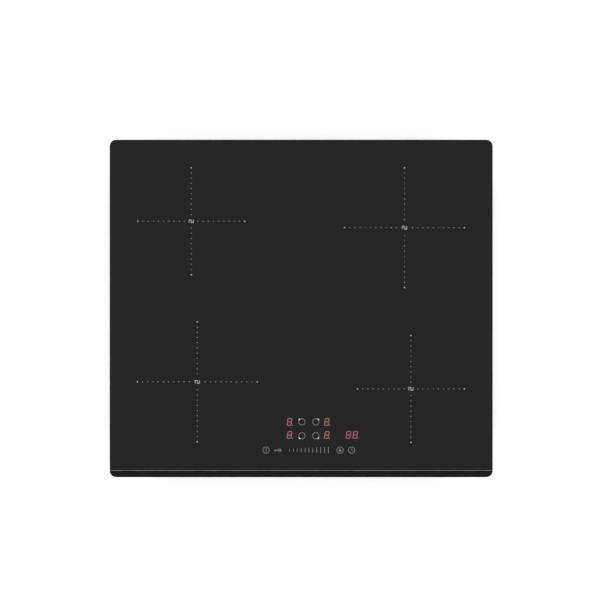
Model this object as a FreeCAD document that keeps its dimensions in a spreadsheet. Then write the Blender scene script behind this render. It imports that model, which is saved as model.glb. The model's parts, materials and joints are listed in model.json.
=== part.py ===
import FreeCAD, Part
import math
import os
import re
import Sketcher
from FreeCAD import Placement, Rotation, Vector

# Built-in induction hob, in millimetres. The origin is the bottom centre of the whole
# hob, +Z is up, +X is to the cook's right and -Y is the front edge with the controls.

# ---------------------------------------------------------------- driving dimensions

SIZES = {
    # glass plate
    "glass_width": 590.0,
    "glass_depth": 520.0,
    "glass_thickness": 4.0,
    "glass_corner_radius": 10.0,
    "glass_edge_chamfer": 0.5,
    "bevel_width": 10.0,
    "bevel_drop": 2.0,
    "arris_width": 0.9,
    "arris_drop": 0.45,
    # fit in the worktop
    "build_depth": 51.0,
    "worktop_overlap": 15.0,
    "cutout_clearance": 4.0,
    "seal_inset": 3.0,
    "seal_width": 8.0,
    "seal_height": 3.0,
    "inner_corner_radius": 1.0,
    # how far a cut runs past what it cuts
    "cut_margin": 1.0,
    # sheet-metal base and glass frame
    "sheet_gauge": 1.0,
    "tray_corner_radius": 6.0,
    "tray_bend_radius": 2.0,
    "tray_rim_gap": 1.2,
    "foot_depth": 3.0,
    "foot_radius": 8.0,
    "foot_inset": 20.0,
    "bond_thickness": 0.8,
    "bond_width": 10.0,
    "frame_flange": 12.0,
    "frame_leg": 11.0,
    # screws
    "screw_radius": 1.5,
    "screw_head_radius": 3.2,
    "screw_head_height": 1.4,
    "screw_head_taper": 0.6,
    "screw_length": 7.0,
    "hole_clearance": 0.15,
    "screw_end_gap": 90.0,
    "screw_side_gap": 170.0,
    "screw_drop": 8.0,
    # cooking zones
    "small_zone_radius": 82.5,
    "large_zone_radius": 92.5,
    "zone_side_margin": 42.5,
    "zone_rear_margin": 42.5,
    "zone_front_margin": 54.0,
    "coil_inset": 4.5,
    "winding_inner_radius": 15.0,
    "winding_height": 4.0,
    "winding_groove": 0.7,
    "winding_slope_share": 0.25,
    "small_coil_turns": 21,
    "large_coil_turns": 24,
    "former_rim": 2.5,
    "former_rim_wall": 1.5,
    "former_rim_gap": 0.5,
    "former_thickness": 2.5,
    "former_hub_radius": 10.0,
    "former_hub_wall": 3.0,
    "former_window_width": 9.0,
    "former_window_inset": 6.0,
    "ferrite_count": 8,
    "ferrite_width": 11.0,
    "ferrite_height": 5.0,
    "ferrite_inner_radius": 22.0,
    "ferrite_end_gap": 4.0,
    "disc_thickness": 2.0,
    "disc_overhang": 1.0,
    "disc_hole_radius": 7.0,
    "sensor_radius": 5.5,
    "sensor_flange_radius": 9.0,
    "sensor_flange_height": 1.5,
    # coil plates and their springs
    "plate_thickness": 1.5,
    "plate_side_gap": 23.0,
    "plate_rear_gap": 21.0,
    "plate_front_gap": 33.0,
    "plate_lip": 4.0,
    "plate_hole_radius": 6.0,
    "plate_slot_width": 5.0,
    "plate_slot_length": 34.0,
    "plate_slot_pitch": 16.0,
    "plate_slot_count": 9,
    "post_radius": 8.0,
    "post_inset": 14.0,
    "spring_height": 8.0,
    "spring_gauge": 0.6,
    "spring_width": 8.0,
    "spring_length": 14.0,
    "spring_foot": 2.0,
    "spring_crown": 4.0,
    # power boards
    "standoff_height": 5.0,
    "standoff_radius": 4.0,
    "standoff_inset": 6.0,
    "board_thickness": 1.6,
    "board_width": 165.0,
    "board_depth": 250.0,
    "board_side_gap": 24.0,
    "board_front_gap": 91.0,
    "sink_inset": 8.0,
    "sink_width": 50.0,
    "sink_length": 230.0,
    "sink_end_gap": 10.0,
    "sink_height": 21.0,
    "sink_base": 4.0,
    "fin_thickness": 2.0,
    "fin_count": 7,
    "transistor_width": 16.0,
    "transistor_thickness": 5.0,
    "transistor_height": 18.0,
    "transistor_pitch": 45.0,
    "transistor_count": 5,
    "capacitor_inset": 91.0,
    "capacitor_front_gap": 25.0,
    "capacitor_pitch": 42.0,
    "capacitor_count": 4,
    "capacitor_length": 32.0,
    "capacitor_width": 14.0,
    "capacitor_height": 20.0,
    "choke_radius": 15.0,
    "choke_bore_radius": 6.0,
    "choke_height": 16.0,
    "choke_inset": 27.0,
    "choke_front_gap": 70.0,
    "choke_pitch": 60.0,
    "choke_count": 3,
    # blowers
    "blower_size": 84.0,
    "blower_height": 26.0,
    "blower_wall": 1.5,
    "blower_corner_radius": 10.0,
    "blower_gap": 8.0,
    "blower_cavity_radius": 36.0,
    "blower_duct_width": 42.0,
    "impeller_radius": 31.0,
    "impeller_blade_length": 8.0,
    "impeller_blade_gauge": 1.2,
    "impeller_blade_count": 24,
    "impeller_blade_inset": 0.2,
    "impeller_hoop_width": 2.0,
    "impeller_plate": 1.5,
    "impeller_clearance": 2.0,
    "motor_radius": 14.0,
    "motor_height": 9.0,
    "cup_floor_gap": 1.0,
    "cup_wall_gap": 1.5,
    "shaft_radius": 1.5,
    "shaft_end_gap": 1.0,
    "shaft_clearance": 0.08,
    "grille_inner_radius": 14.0,
    "grille_outer_radius": 33.0,
    "grille_slot_width": 3.6,
    "grille_slot_count": 16,
    # air outlets at the front
    "vent_start": 96.0,
    "vent_pitch": 12.0,
    "vent_count": 10,
    "vent_width": 4.0,
    "vent_length": 24.0,
    "vent_edge_gap": 9.0,
    "vent_wall_height": 22.0,
    "vent_wall_lift": 8.0,
    # mains filter
    "filter_width": 100.0,
    "filter_depth": 90.0,
    "filter_set_back": 50.0,
    "filter_choke_offset": 24.0,
    "filter_choke_front_gap": 24.0,
    "filter_choke_pitch": 38.0,
    "filter_choke_count": 2,
    "filter_capacitor_offset": 20.0,
    "filter_capacitor_front_gap": 36.0,
    "filter_capacitor_pitch": 20.0,
    "filter_capacitor_count": 2,
    "filter_capacitor_length": 30.0,
    "filter_capacitor_width": 12.0,
    "relay_offset": 38.0,
    "relay_front_gap": 70.0,
    "relay_length": 18.0,
    "relay_width": 14.0,
    "relay_height": 14.0,
    # mains connection
    "terminal_offset": 20.0,
    "terminal_width": 66.0,
    "terminal_depth": 46.0,
    "terminal_height": 24.0,
    "terminal_wall": 2.5,
    "terminal_wall_gap": 4.0,
    "terminal_corner_radius": 3.0,
    "terminal_boss_radius": 4.5,
    "terminal_boss_sink": 1.5,
    "terminal_boss_height": 10.0,
    "terminal_pilot_end": 1.0,
    "terminal_post_pitch": 11.0,
    "terminal_post_count": 5,
    "terminal_post_width": 7.0,
    "terminal_post_depth": 16.0,
    "terminal_post_height": 6.0,
    "lid_thickness": 1.2,
    "lid_lip": 3.0,
    "lid_ear_radius": 6.0,
    "cable_height": 16.0,
    "cable_hole_radius": 8.0,
    "cable_bore_radius": 5.5,
    "cable_flange_radius": 10.0,
    "cable_flange": 1.8,
    "cable_bush_wall": 1.2,
    # touch controls
    "control_offset": 12.0,
    "carrier_width": 168.0,
    "carrier_depth": 70.0,
    "carrier_front_gap": 30.0,
    "carrier_height": 9.0,
    "carrier_wall": 2.0,
    "carrier_leg_radius": 5.0,
    "control_board_inset": 1.0,
    "display_height": 9.4,
    "display_gap": 1.0,
    "pad_radius": 4.5,
    "outer_key_offset": 66.0,
    "inner_key_offset": 48.0,
    "slider_pad_pitch": 12.0,
    "slider_pad_count": 6,
    "touch_row": 41.3,
    "timer_row": 64.8,
    "front_zone_row": 64.0,
    "rear_zone_row": 85.2,
    "selector_spread": 10.95,
    "digit_spread": 28.7,
    "digit_width": 12.0,
    "digit_height": 18.0,
    "timer_offset": 66.0,
    # worktop clamps
    "clamp_inset": 10.0,
    "clamp_end_gap": 91.0,
    "clamp_screw_radius": 2.5,
    "clamp_head_radius": 4.4,
    "clamp_head_height": 2.5,
    "clamp_head_gap": 0.5,
    "clamp_head_chamfer": 0.5,
    "clamp_slot_width": 1.2,
    "clamp_tip_chamfer": 0.8,
    "clamp_screw_length": 27.0,
    "clamp_arm_gauge": 2.5,
    "clamp_arm_width": 12.0,
    "clamp_arm_reach": 28.0,
    "clamp_arm_gap": 0.2,
    "clamp_arm_end_flat": 1.0,
    "clamp_travel": 13.0,
    "clamp_bracket_gauge": 3.0,
    "clamp_bracket_width": 20.0,
    "clamp_bracket_rise": 12.0,
    "clamp_bracket_lip": 2.0,
    "clamp_access_radius": 6.0,
    "clamp_window_gap": 1.5,
    # wiring
    "lead_radius": 1.2,
    "lead_bend_radius": 5.0,
    "lead_pair_spread": 4.0,
    "lead_standout": 6.0,
    "lead_lane": 115.0,
    "lead_end_gap": 35.0,
    "lead_hole_radius": 2.2,
    "supply_end_gap": 8.0,
    "bridge_lead_front_gap": 10.0,
    "bridge_lead_pitch": 6.0,
    "bridge_lead_inset": 4.0,
    "bridge_lead_rise": 12.0,
    "ribbon_width": 8.0,
    "ribbon_gauge": 0.8,
    "ribbon_landing": 8.0,
    "ribbon_bend_radius": 1.0,
}

# Sizes that follow from the ones above.
DERIVED = {
    "glass_top": "build_depth + glass_thickness",
    "bevel_line": "bevel_width - glass_depth / 2",
    "bevel_slope": "(bevel_drop - arris_drop) / (bevel_width - arris_width)",
    "tray_width": "glass_width - 2 * (worktop_overlap + cutout_clearance)",
    "tray_depth": "glass_depth - 2 * (worktop_overlap + cutout_clearance)",
    "frame_top": "build_depth - bond_thickness",
    "frame_width": "tray_width - 2 * sheet_gauge",
    "frame_depth": "tray_depth - 2 * sheet_gauge",
    "frame_corner": "tray_corner_radius - sheet_gauge",
    "tray_top": "frame_top - sheet_gauge - tray_rim_gap",
    "floor_top": "foot_depth + sheet_gauge",
    "foot_x": "tray_width / 2 - foot_inset",
    "foot_y": "tray_depth / 2 - foot_inset",
    "screw_x": "tray_width / 2 - screw_end_gap",
    "screw_y": "tray_depth / 2 - screw_side_gap",
    "screw_z": "build_depth - screw_drop",
    "disc_bottom": "build_depth - disc_thickness",
    "winding_bottom": "disc_bottom - winding_height",
    "former_bottom": "winding_bottom - former_thickness",
    "plate_top": "former_bottom - ferrite_height",
    "plate_bottom": "plate_top - plate_thickness",
    "plate_outer_x": "tray_width / 2 - plate_side_gap",
    "plate_inner_x": "glass_width / 2 - zone_side_margin - 2 * large_zone_radius - plate_lip",
    "plate_rear_y": "tray_depth / 2 - plate_rear_gap",
    "plate_front_y": "plate_front_gap - tray_depth / 2",
    "post_top": "plate_bottom - spring_height",
    "board_bottom": "floor_top + standoff_height",
    "board_top": "board_bottom + board_thickness",
    "board_outer_x": "tray_width / 2 - board_side_gap",
    "board_inner_x": "board_outer_x - board_width",
    "board_front_y": "board_front_gap - tray_depth / 2",
    "board_rear_y": "board_front_y + board_depth",
    "sink_x": "board_inner_x + sink_inset + sink_width / 2",
    "sink_y": "board_front_y + sink_end_gap + sink_length / 2",
    "blower_x": "board_inner_x + blower_size / 2",
    "blower_y": "board_rear_y + blower_gap + blower_size / 2",
    "blower_roof": "floor_top + blower_height - blower_wall",
    "motor_bottom": "blower_roof - motor_height",
    "filter_front_y": "board_rear_y + filter_set_back - filter_depth",
    "filter_rear_y": "filter_front_y + filter_depth",
    "terminal_y": "tray_depth / 2 - sheet_gauge - terminal_wall_gap - terminal_depth / 2",
    "terminal_roof": "floor_top + terminal_height",
    "lid_bottom": "foot_depth - lid_thickness",
    "post_row_bottom": "terminal_roof - terminal_wall - terminal_post_height",
    "boss_x": "terminal_width / 2 + terminal_boss_radius - terminal_boss_sink",
    "carrier_front_y": "carrier_front_gap - glass_depth / 2",
    "carrier_rear_y": "carrier_front_y + carrier_depth",
    "carrier_left_x": "control_offset - carrier_width / 2",
    "carrier_right_x": "control_offset + carrier_width / 2",
    "carrier_top": "build_depth - board_thickness - display_gap - display_height",
    "carrier_bottom": "carrier_top - carrier_height",
    "control_board_top": "carrier_top + board_thickness",
    "notch_y": "carrier_rear_y + plate_lip",
    "clamp_x": "tray_width / 2 - clamp_inset",
    "clamp_y": "tray_depth / 2 - clamp_end_gap",
    "clamp_head_bottom": "floor_top + clamp_head_gap",
    "clamp_head_top": "clamp_head_bottom + clamp_head_height",
    "clamp_arm_bottom": "clamp_head_top + clamp_arm_gap",
    "clamp_arm_top": "clamp_arm_bottom + clamp_arm_gauge",
    "clamp_window_top": "clamp_arm_top + clamp_travel + clamp_window_gap",
    "clamp_bracket_bottom": "clamp_window_top + clamp_window_gap",
    "lead_run_height": "plate_bottom - 2 * lead_radius",
    "lead_start_height": "former_bottom + former_thickness / 2",
}

# Each zone has a side (left -1, right +1), an end (front -1, rear +1) and a coil size.
ZONES = {
    "rear_left": (-1, 1, "small"),
    "rear_right": (1, 1, "large"),
    "front_left": (-1, -1, "large"),
    "front_right": (1, -1, "small"),
}
SIDES = {"left": -1, "right": 1}

# Heights closer than this are the same height, and a cut takes away more than this.
SAME = 0.01
# The most of a run that the arc at each of its ends may take up.
LONGEST_ARC_SHARE = 0.45

document = FreeCAD.newDocument("InductionHob")
sheet = document.addObject("Spreadsheet::Sheet", "Sizes")
for row, (alias, number) in enumerate(SIZES.items(), start=1):
    sheet.set(f"A{row}", alias.replace("_", " "))
    sheet.set(f"B{row}", str(number))
    sheet.setAlias(f"B{row}", alias)
document.recompute()

nodes = []


# ---------------------------------------------------------------- sheet helpers

def formula(text):
    """Write a size as an expression on the sheet's cells."""
    def expand(match):
        word = match.group(0)
        if word in DERIVED:
            return "(" + formula(DERIVED[word]) + ")"
        if word in SIZES:
            return "Sizes." + word
        return word
    return re.sub(r"[a-z_]+", expand, str(text))


def amount(text):
    """The number that a size has now."""
    return float(sheet.evalExpression(formula(text)))


def bind(item, path, text):
    """Tie a property of a document object to the sheet."""
    item.setExpression(path, formula(text))


def set_place(item, x="0", y="0", z="0", rotation=None):
    """Place an object at a bound point, with a fixed rotation."""
    item.Placement = Placement(Vector(), rotation or Rotation())
    bind(item, ".Placement.Base.x", x)
    bind(item, ".Placement.Base.y", y)
    bind(item, ".Placement.Base.z", z)


# ---------------------------------------------------------------- sketches and features

class Outline:
    """A sketch on one of a body's own planes, with every point bound to the sheet."""

    def __init__(self, body, plane="XY_Plane", lift="0", across="0", along="0", turn="0"):
        support = [item for item in body.Origin.OriginFeatures if item.Role == plane][0]
        self.sketch = body.newObject("Sketcher::SketchObject", "Outline")
        self.sketch.AttachmentSupport = (support, [""])
        self.sketch.MapMode = "FlatFace"
        bind(self.sketch, ".AttachmentOffset.Base.x", across)
        bind(self.sketch, ".AttachmentOffset.Base.y", along)
        bind(self.sketch, ".AttachmentOffset.Base.z", lift)
        bind(self.sketch, ".AttachmentOffset.Rotation.Angle", turn)

    def tie(self, *parts):
        """Add a constraint whose last part is a size, bound to the sheet."""
        *parts, size = parts
        index = self.sketch.addConstraint(Sketcher.Constraint(*parts, amount(size)))
        self.sketch.setExpression(f"Constraints[{index}]", formula(size))

    def pin(self, edge, vertex, x, y):
        self.tie("DistanceX", -1, 1, edge, vertex, x)
        self.tie("DistanceY", -1, 1, edge, vertex, y)

    def join(self, first, first_vertex, second, second_vertex):
        self.sketch.addConstraint(
            Sketcher.Constraint("Coincident", first, first_vertex, second, second_vertex))

    def line(self, start, end):
        ends = [Vector(amount(x), amount(y), 0) for x, y in (start, end)]
        return self.sketch.addGeometry(Part.LineSegment(*ends), False)

    def polygon(self, points):
        following = points[1:] + points[:1]
        lines = [self.line(start, end) for start, end in zip(points, following)]
        for index, (x, y) in zip(lines, points):
            self.pin(index, 1, x, y)
        for index, next_index in zip(lines, lines[1:] + lines[:1]):
            self.join(index, 2, next_index, 1)

    def box(self, left, low, right, high):
        self.polygon([(left, low), (right, low), (right, high), (left, high)])

    def centred_box(self, x, y, width, depth):
        self.box(f"{x} - ({width}) / 2", f"{y} - ({depth}) / 2",
                 f"{x} + ({width}) / 2", f"{y} + ({depth}) / 2")

    def circle(self, x, y, radius):
        round_edge = Part.Circle(Vector(amount(x), amount(y), 0), Vector(0, 0, 1), amount(radius))
        index = self.sketch.addGeometry(round_edge, False)
        self.pin(index, 3, x, y)
        self.tie("Radius", index, radius)

    def rounded_box(self, x, y, width, depth, corner):
        """A box about (x, y) whose corners are arcs."""
        edges = []
        for right, up in ((1, -1), (1, 1), (-1, 1), (-1, -1)):
            corner_x = f"{x} + {right} * ({width}) / 2"
            corner_y = f"{y} + {up} * ({depth}) / 2"
            inset_x = f"{corner_x} - {right} * ({corner})"
            inset_y = f"{corner_y} - {up} * ({corner})"
            ends = [(inset_x, corner_y), (corner_x, inset_y)]
            if right * up > 0:
                ends.reverse()
            edges.append((ends, (inset_x, inset_y)))
        arcs = []
        for (start, end), (middle_x, middle_y) in edges:
            middle = Vector(amount(middle_x), amount(middle_y), 0)
            angles = [math.atan2(amount(y_end) - middle.y, amount(x_end) - middle.x)
                      for x_end, y_end in (start, end)]
            full = Part.Circle(middle, Vector(0, 0, 1), amount(corner))
            arcs.append(self.sketch.addGeometry(Part.ArcOfCircle(full, *angles), False))
        for place, arc in enumerate(arcs):
            following = (place + 1) % len(arcs)
            start = edges[place][0][1]
            end = edges[following][0][0]
            side = self.line(start, end)
            self.pin(side, 1, *start)
            self.pin(side, 2, *end)
            self.join(arc, 2, side, 1)
            self.join(side, 2, arcs[following], 1)
            self.tie("Radius", arc, corner)


def new_body(label, kept=True):
    body = document.addObject("PartDesign::Body", label)
    body.Label = label
    if kept:
        nodes.append(body)
    return body


def pad(body, outline, height, both_ways=False):
    feature = body.newObject("PartDesign::Pad", "Pad")
    feature.Profile = outline.sketch
    bind(feature, "Length", height)
    if both_ways:
        feature.SideType = "Symmetric"
    return feature


def cut(body, outline, depth, both_ways=False, backward=False):
    """Cut against the sketch's normal, along it, or both ways."""
    feature = body.newObject("PartDesign::Pocket", "Cut")
    feature.Profile = outline.sketch
    bind(feature, "Length", depth)
    feature.Reversed = backward
    if both_ways:
        feature.SideType = "Symmetric"
    return feature


def revolve(body, outline, axis="V_Axis"):
    feature = body.newObject("PartDesign::Revolution", "Turned")
    feature.Profile = outline.sketch
    feature.ReferenceAxis = (outline.sketch, [axis])
    feature.Angle = 360
    return feature


def ring_of(body, feature, outline, count):
    """Repeat a feature evenly round its own sketch's origin."""
    pattern = body.newObject("PartDesign::PolarPattern", "Ring")
    pattern.Originals = [feature]
    pattern.Axis = (outline.sketch, ["N_Axis"])
    pattern.Angle = 360
    bind(pattern, "Occurrences", count)
    body.Tip = pattern
    return pattern


def row_of(body, feature, outline, span, count):
    """Repeat a feature along its own sketch's horizontal axis."""
    pattern = body.newObject("PartDesign::LinearPattern", "Row")
    pattern.Originals = [feature]
    pattern.Direction = (outline.sketch, ["H_Axis"])
    bind(pattern, "Length", span)
    bind(pattern, "Occurrences", count)
    body.Tip = pattern
    return pattern


def dress_edges(body, kind, wanted, size):
    """Chamfer or fillet the edges of a body's last feature that pass a test."""
    document.recompute()
    base = body.Tip
    names = [f"Edge{number}" for number, edge in enumerate(base.Shape.Edges, start=1)
             if wanted(edge)]
    if not names:
        raise RuntimeError(f"{body.Label} has no edge to dress")
    feature = body.newObject("PartDesign::" + kind, kind)
    feature.Base = (base, names)
    bind(feature, "Size" if kind == "Chamfer" else "Radius", size)
    return feature


def block(x, y, z, width, depth, height):
    """A box centred on (x, y) that stands at height z."""
    item = document.addObject("Part::Box", "Block")
    bind(item, "Length", width)
    bind(item, "Width", depth)
    bind(item, "Height", height)
    set_place(item, f"{x} - ({width}) / 2", f"{y} - ({depth}) / 2", z)
    return item


def rod(x, y, z, radius, height):
    item = document.addObject("Part::Cylinder", "Rod")
    bind(item, "Radius", radius)
    bind(item, "Height", height)
    set_place(item, x, y, z)
    return item


def tube(x, y, z, radius, bore, height):
    item = document.addObject("Part::Cut", "Tube")
    item.Base = rod(x, y, z, radius, height)
    item.Tool = rod(x, y, f"{z} - cut_margin", bore, f"{height} + 2 * cut_margin")
    return item


def group(label, pieces):
    """Keep separate solids of one kind together in one node."""
    item = document.addObject("Part::Compound", label)
    item.Label = label
    item.Links = pieces
    nodes.append(item)
    return item


def copies(label, template, spots):
    """Keep placed copies of one body together in one node."""
    links = []
    for x, y, z, rotation in spots:
        link = document.addObject("App::Link", "Copy")
        link.LinkedObject = template
        set_place(link, x, y, z, rotation)
        links.append(link)
    return group(label, links)


def ring_plate(label, width, depth, corner, wall, lift, height):
    """A flat rounded frame of one width all round."""
    body = new_body(label)
    outer = Outline(body, lift=lift)
    outer.rounded_box("0", "0", width, depth, corner)
    pad(body, outer, height)
    inner = Outline(body, lift=f"{lift} + {height}")
    inner.rounded_box("0", "0", f"{width} - 2 * ({wall})", f"{depth} - 2 * ({wall})",
                      "inner_corner_radius")
    cut(body, inner, f"{height} + cut_margin")
    return body


# ---------------------------------------------------------------- glass, seal and frame

def make_glass():
    body = new_body("glass_top")
    plate = Outline(body, lift="build_depth")
    plate.rounded_box("0", "0", "glass_width", "glass_depth", "glass_corner_radius")
    pad(body, plate, "glass_thickness")
    floor = amount("build_depth")
    roof = amount("glass_top")
    dress_edges(body, "Chamfer", lambda edge: edge.BoundBox.ZLength < SAME
                and min(abs(edge.BoundBox.ZMax - floor), abs(edge.BoundBox.ZMax - roof)) < SAME,
                "glass_edge_chamfer")
    front = "(-glass_depth / 2)"
    lip = "(glass_top - bevel_drop + bevel_slope * glass_edge_chamfer)"
    bevel = Outline(body, plane="YZ_Plane")
    bevel.polygon([
        ("bevel_line", "glass_top"),
        ("bevel_line - arris_width", "glass_top - arris_drop"),
        (f"{front} + glass_edge_chamfer", lip),
        (f"{front} - glass_edge_chamfer", f"{lip} - 2 * glass_edge_chamfer"),
        (f"{front} - glass_edge_chamfer", "glass_top + cut_margin"),
        ("bevel_line", "glass_top + cut_margin"),
    ])
    cut(body, bevel, "glass_width + 2 * cut_margin", both_ways=True)


def make_glass_fixings():
    ring_plate("glass_bond", "frame_width", "frame_depth", "frame_corner",
               "bond_width", "frame_top", "bond_thickness")
    ring_plate("worktop_seal", "glass_width - 2 * seal_inset", "glass_depth - 2 * seal_inset",
               "glass_corner_radius - seal_inset", "seal_width",
               "build_depth - seal_height", "seal_height")
    body = new_body("glass_frame")
    outer = Outline(body, lift="frame_top - sheet_gauge - frame_leg")
    outer.rounded_box("0", "0", "frame_width", "frame_depth", "frame_corner")
    pad(body, outer, "frame_leg + sheet_gauge")
    leg = Outline(body, lift="frame_top - sheet_gauge")
    leg.rounded_box("0", "0", "frame_width - 2 * sheet_gauge", "frame_depth - 2 * sheet_gauge",
                    "frame_corner - sheet_gauge")
    cut(body, leg, "frame_leg + cut_margin")
    window = Outline(body, lift="frame_top")
    window.rounded_box("0", "0", "frame_width - 2 * frame_flange",
                       "frame_depth - 2 * frame_flange", "frame_corner - sheet_gauge")
    cut(body, window, "2 * sheet_gauge")
    wall_holes(body)


def wall_holes(body):
    """Clearance holes for the screws that join the tray walls to the glass frame."""
    ends = Outline(body, plane="XZ_Plane")
    sides = Outline(body, plane="YZ_Plane")
    for sign in (-1, 1):
        ends.circle(f"{sign} * screw_x", "screw_z", "screw_radius + hole_clearance")
        sides.circle(f"{sign} * screw_y", "screw_z", "screw_radius + hole_clearance")
    cut(body, ends, "tray_depth + 2 * cut_margin", both_ways=True)
    cut(body, sides, "tray_width + 2 * cut_margin", both_ways=True)


# ---------------------------------------------------------------- base tray

def make_tray():
    body = new_body("base_tray")
    outer = Outline(body, lift="foot_depth")
    outer.rounded_box("0", "0", "tray_width", "tray_depth", "tray_corner_radius")
    pad(body, outer, "tray_top - foot_depth")
    floor = amount("foot_depth")
    dress_edges(body, "Fillet", lambda edge: abs(edge.BoundBox.ZMax - floor) < SAME,
                "tray_bend_radius")
    inner = Outline(body, lift="tray_top")
    inner.rounded_box("0", "0", "frame_width", "frame_depth", "frame_corner")
    cut(body, inner, "tray_top - floor_top")
    tray_feet(body)
    tray_air_openings(body)
    tray_terminal_openings(body)
    tray_clamp_openings(body)
    wall_holes(body)


def tray_feet(body):
    """Four pressed dimples that the tray stands on."""
    dimples = Outline(body)
    hollows = Outline(body, lift="floor_top")
    for right in (-1, 1):
        for rear in (-1, 1):
            dimples.circle(f"{right} * foot_x", f"{rear} * foot_y", "foot_radius")
            hollows.circle(f"{right} * foot_x", f"{rear} * foot_y", "foot_radius - sheet_gauge")
    pad(body, dimples, "floor_top")
    cut(body, hollows, "foot_depth")


def tray_air_openings(body):
    for side in SIDES.values():
        grille = Outline(body, lift="floor_top", across=f"{side} * blower_x", along="blower_y")
        grille.box("grille_inner_radius", "-grille_slot_width / 2",
                   "grille_outer_radius", "grille_slot_width / 2")
        slot = cut(body, grille, "sheet_gauge + cut_margin")
        ring_of(body, slot, grille, "grille_slot_count")
        span = "vent_pitch * (vent_count - 1)"
        first = "vent_start" if side > 0 else f"-vent_start - {span}"
        floor_vent = Outline(body, lift="floor_top")
        floor_vent.box(f"{first} - vent_width / 2", "vent_edge_gap - tray_depth / 2",
                       f"{first} + vent_width / 2", "vent_edge_gap + vent_length - tray_depth / 2")
        slot = cut(body, floor_vent, "sheet_gauge + cut_margin")
        row_of(body, slot, floor_vent, span, "vent_count")
        wall_vent = Outline(body, plane="XZ_Plane", lift="tray_depth / 2 + cut_margin")
        wall_vent.box(f"{first} - vent_width / 2", "floor_top + vent_wall_lift",
                      f"{first} + vent_width / 2", "floor_top + vent_wall_lift + vent_wall_height")
        slot = cut(body, wall_vent, "sheet_gauge + 2 * cut_margin")
        row_of(body, slot, wall_vent, span, "vent_count")


def tray_terminal_openings(body):
    opening = Outline(body, lift="floor_top")
    opening.centred_box("terminal_offset", "terminal_y", "terminal_width - 2 * terminal_wall",
                        "terminal_depth - 2 * terminal_wall")
    for side in SIDES.values():
        opening.circle(f"terminal_offset + {side} * boss_x", "terminal_y",
                       "screw_radius + hole_clearance")
    cut(body, opening, "sheet_gauge + cut_margin")
    entry = Outline(body, plane="XZ_Plane", lift="-tray_depth / 2 - cut_margin")
    entry.circle("terminal_offset", "cable_height", "cable_hole_radius")
    cut(body, entry, "sheet_gauge + 2 * cut_margin", backward=True)


def tray_clamp_openings(body):
    """Windows in the side walls for the clamp arms, and holes to reach their screws."""
    windows = Outline(body, plane="YZ_Plane")
    access = Outline(body, lift="floor_top")
    arm_end = "clamp_y + clamp_arm_reach + clamp_arm_width / 2 + clamp_window_gap"
    heel = "clamp_y - clamp_arm_width / 2 - clamp_window_gap"
    for rear in (-1, 1):
        edges = [f"{rear} * ({heel})", f"{rear} * ({arm_end})"]
        if rear < 0:
            edges.reverse()
        windows.box(edges[0], "foot_depth + tray_bend_radius", edges[1], "clamp_window_top")
        for right in (-1, 1):
            access.circle(f"{right} * clamp_x", f"{rear} * clamp_y", "clamp_access_radius")
    cut(body, windows, "tray_width + 2 * cut_margin", both_ways=True)
    cut(body, access, "sheet_gauge + cut_margin")


# ---------------------------------------------------------------- coils

def zone_layout(zone):
    """The bound centre and coil radius of a zone."""
    side, end, size = ZONES[zone]
    margin = "zone_rear_margin" if end > 0 else "zone_front_margin"
    x = f"{side} * (glass_width / 2 - zone_side_margin - {size}_zone_radius)"
    y = f"{end} * (glass_depth / 2 - {margin} - {size}_zone_radius)"
    return x, y, f"({size}_zone_radius - coil_inset)"


def make_former(zone):
    """A moulded disc with a hub, a low rim and windows between the ferrite bars."""
    x, y, coil_radius = zone_layout(zone)
    body = new_body("coil_former_" + zone)
    set_place(body, x, y)
    former_radius = f"({coil_radius} + former_rim)"
    hub_outer = "(former_hub_radius + former_hub_wall)"
    rim_top = "disc_bottom - former_rim_gap"
    section = Outline(body, plane="XZ_Plane")
    section.polygon([
        ("former_hub_radius", "former_bottom"),
        (former_radius, "former_bottom"),
        (former_radius, rim_top),
        (f"{former_radius} - former_rim_wall", rim_top),
        (f"{former_radius} - former_rim_wall", "winding_bottom"),
        (hub_outer, "winding_bottom"),
        (hub_outer, rim_top),
        ("former_hub_radius", rim_top),
    ])
    revolve(body, section)
    window = Outline(body, lift="winding_bottom", turn="180 / ferrite_count")
    window.box("ferrite_inner_radius + former_window_inset", "-former_window_width / 2",
               f"{coil_radius} - 2 * ferrite_end_gap", "former_window_width / 2")
    opening = cut(body, window, "former_thickness")
    ring_of(body, opening, window, "ferrite_count")


def make_winding(zone):
    """A flat coil of stranded wire, with a groove between one turn and the next."""
    x, y, coil_radius = zone_layout(zone)
    turns = f"{ZONES[zone][2]}_coil_turns"
    pitch = f"(({coil_radius} - winding_inner_radius) / {turns})"
    body = new_body("coil_winding_" + zone)
    set_place(body, x, y)
    points = [("winding_inner_radius", "winding_bottom"), (coil_radius, "winding_bottom"),
              (coil_radius, "disc_bottom - winding_groove")]
    for turn in range(int(amount(turns)) - 1, -1, -1):
        inner = f"winding_inner_radius + {turn} * {pitch}"
        points.append((f"{inner} + (1 - winding_slope_share) * {pitch}", "disc_bottom"))
        points.append((f"{inner} + winding_slope_share * {pitch}", "disc_bottom"))
        points.append((inner, "disc_bottom - winding_groove"))
    section = Outline(body, plane="XZ_Plane")
    section.polygon(points)
    revolve(body, section)


def make_ferrites(zone):
    x, y, coil_radius = zone_layout(zone)
    body = new_body("ferrite_bars_" + zone)
    set_place(body, x, y)
    bar = Outline(body, lift="plate_top")
    bar.box("ferrite_inner_radius", "-ferrite_width / 2",
            f"{coil_radius} - ferrite_end_gap", "ferrite_width / 2")
    ring_of(body, pad(body, bar, "ferrite_height"), bar, "ferrite_count")


def make_insulation_disc(zone):
    x, y, coil_radius = zone_layout(zone)
    body = new_body("insulation_disc_" + zone)
    set_place(body, x, y)
    disc = Outline(body, lift="disc_bottom")
    disc.circle("0", "0", f"{coil_radius} + disc_overhang")
    disc.circle("0", "0", "disc_hole_radius")
    pad(body, disc, "disc_thickness")


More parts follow.
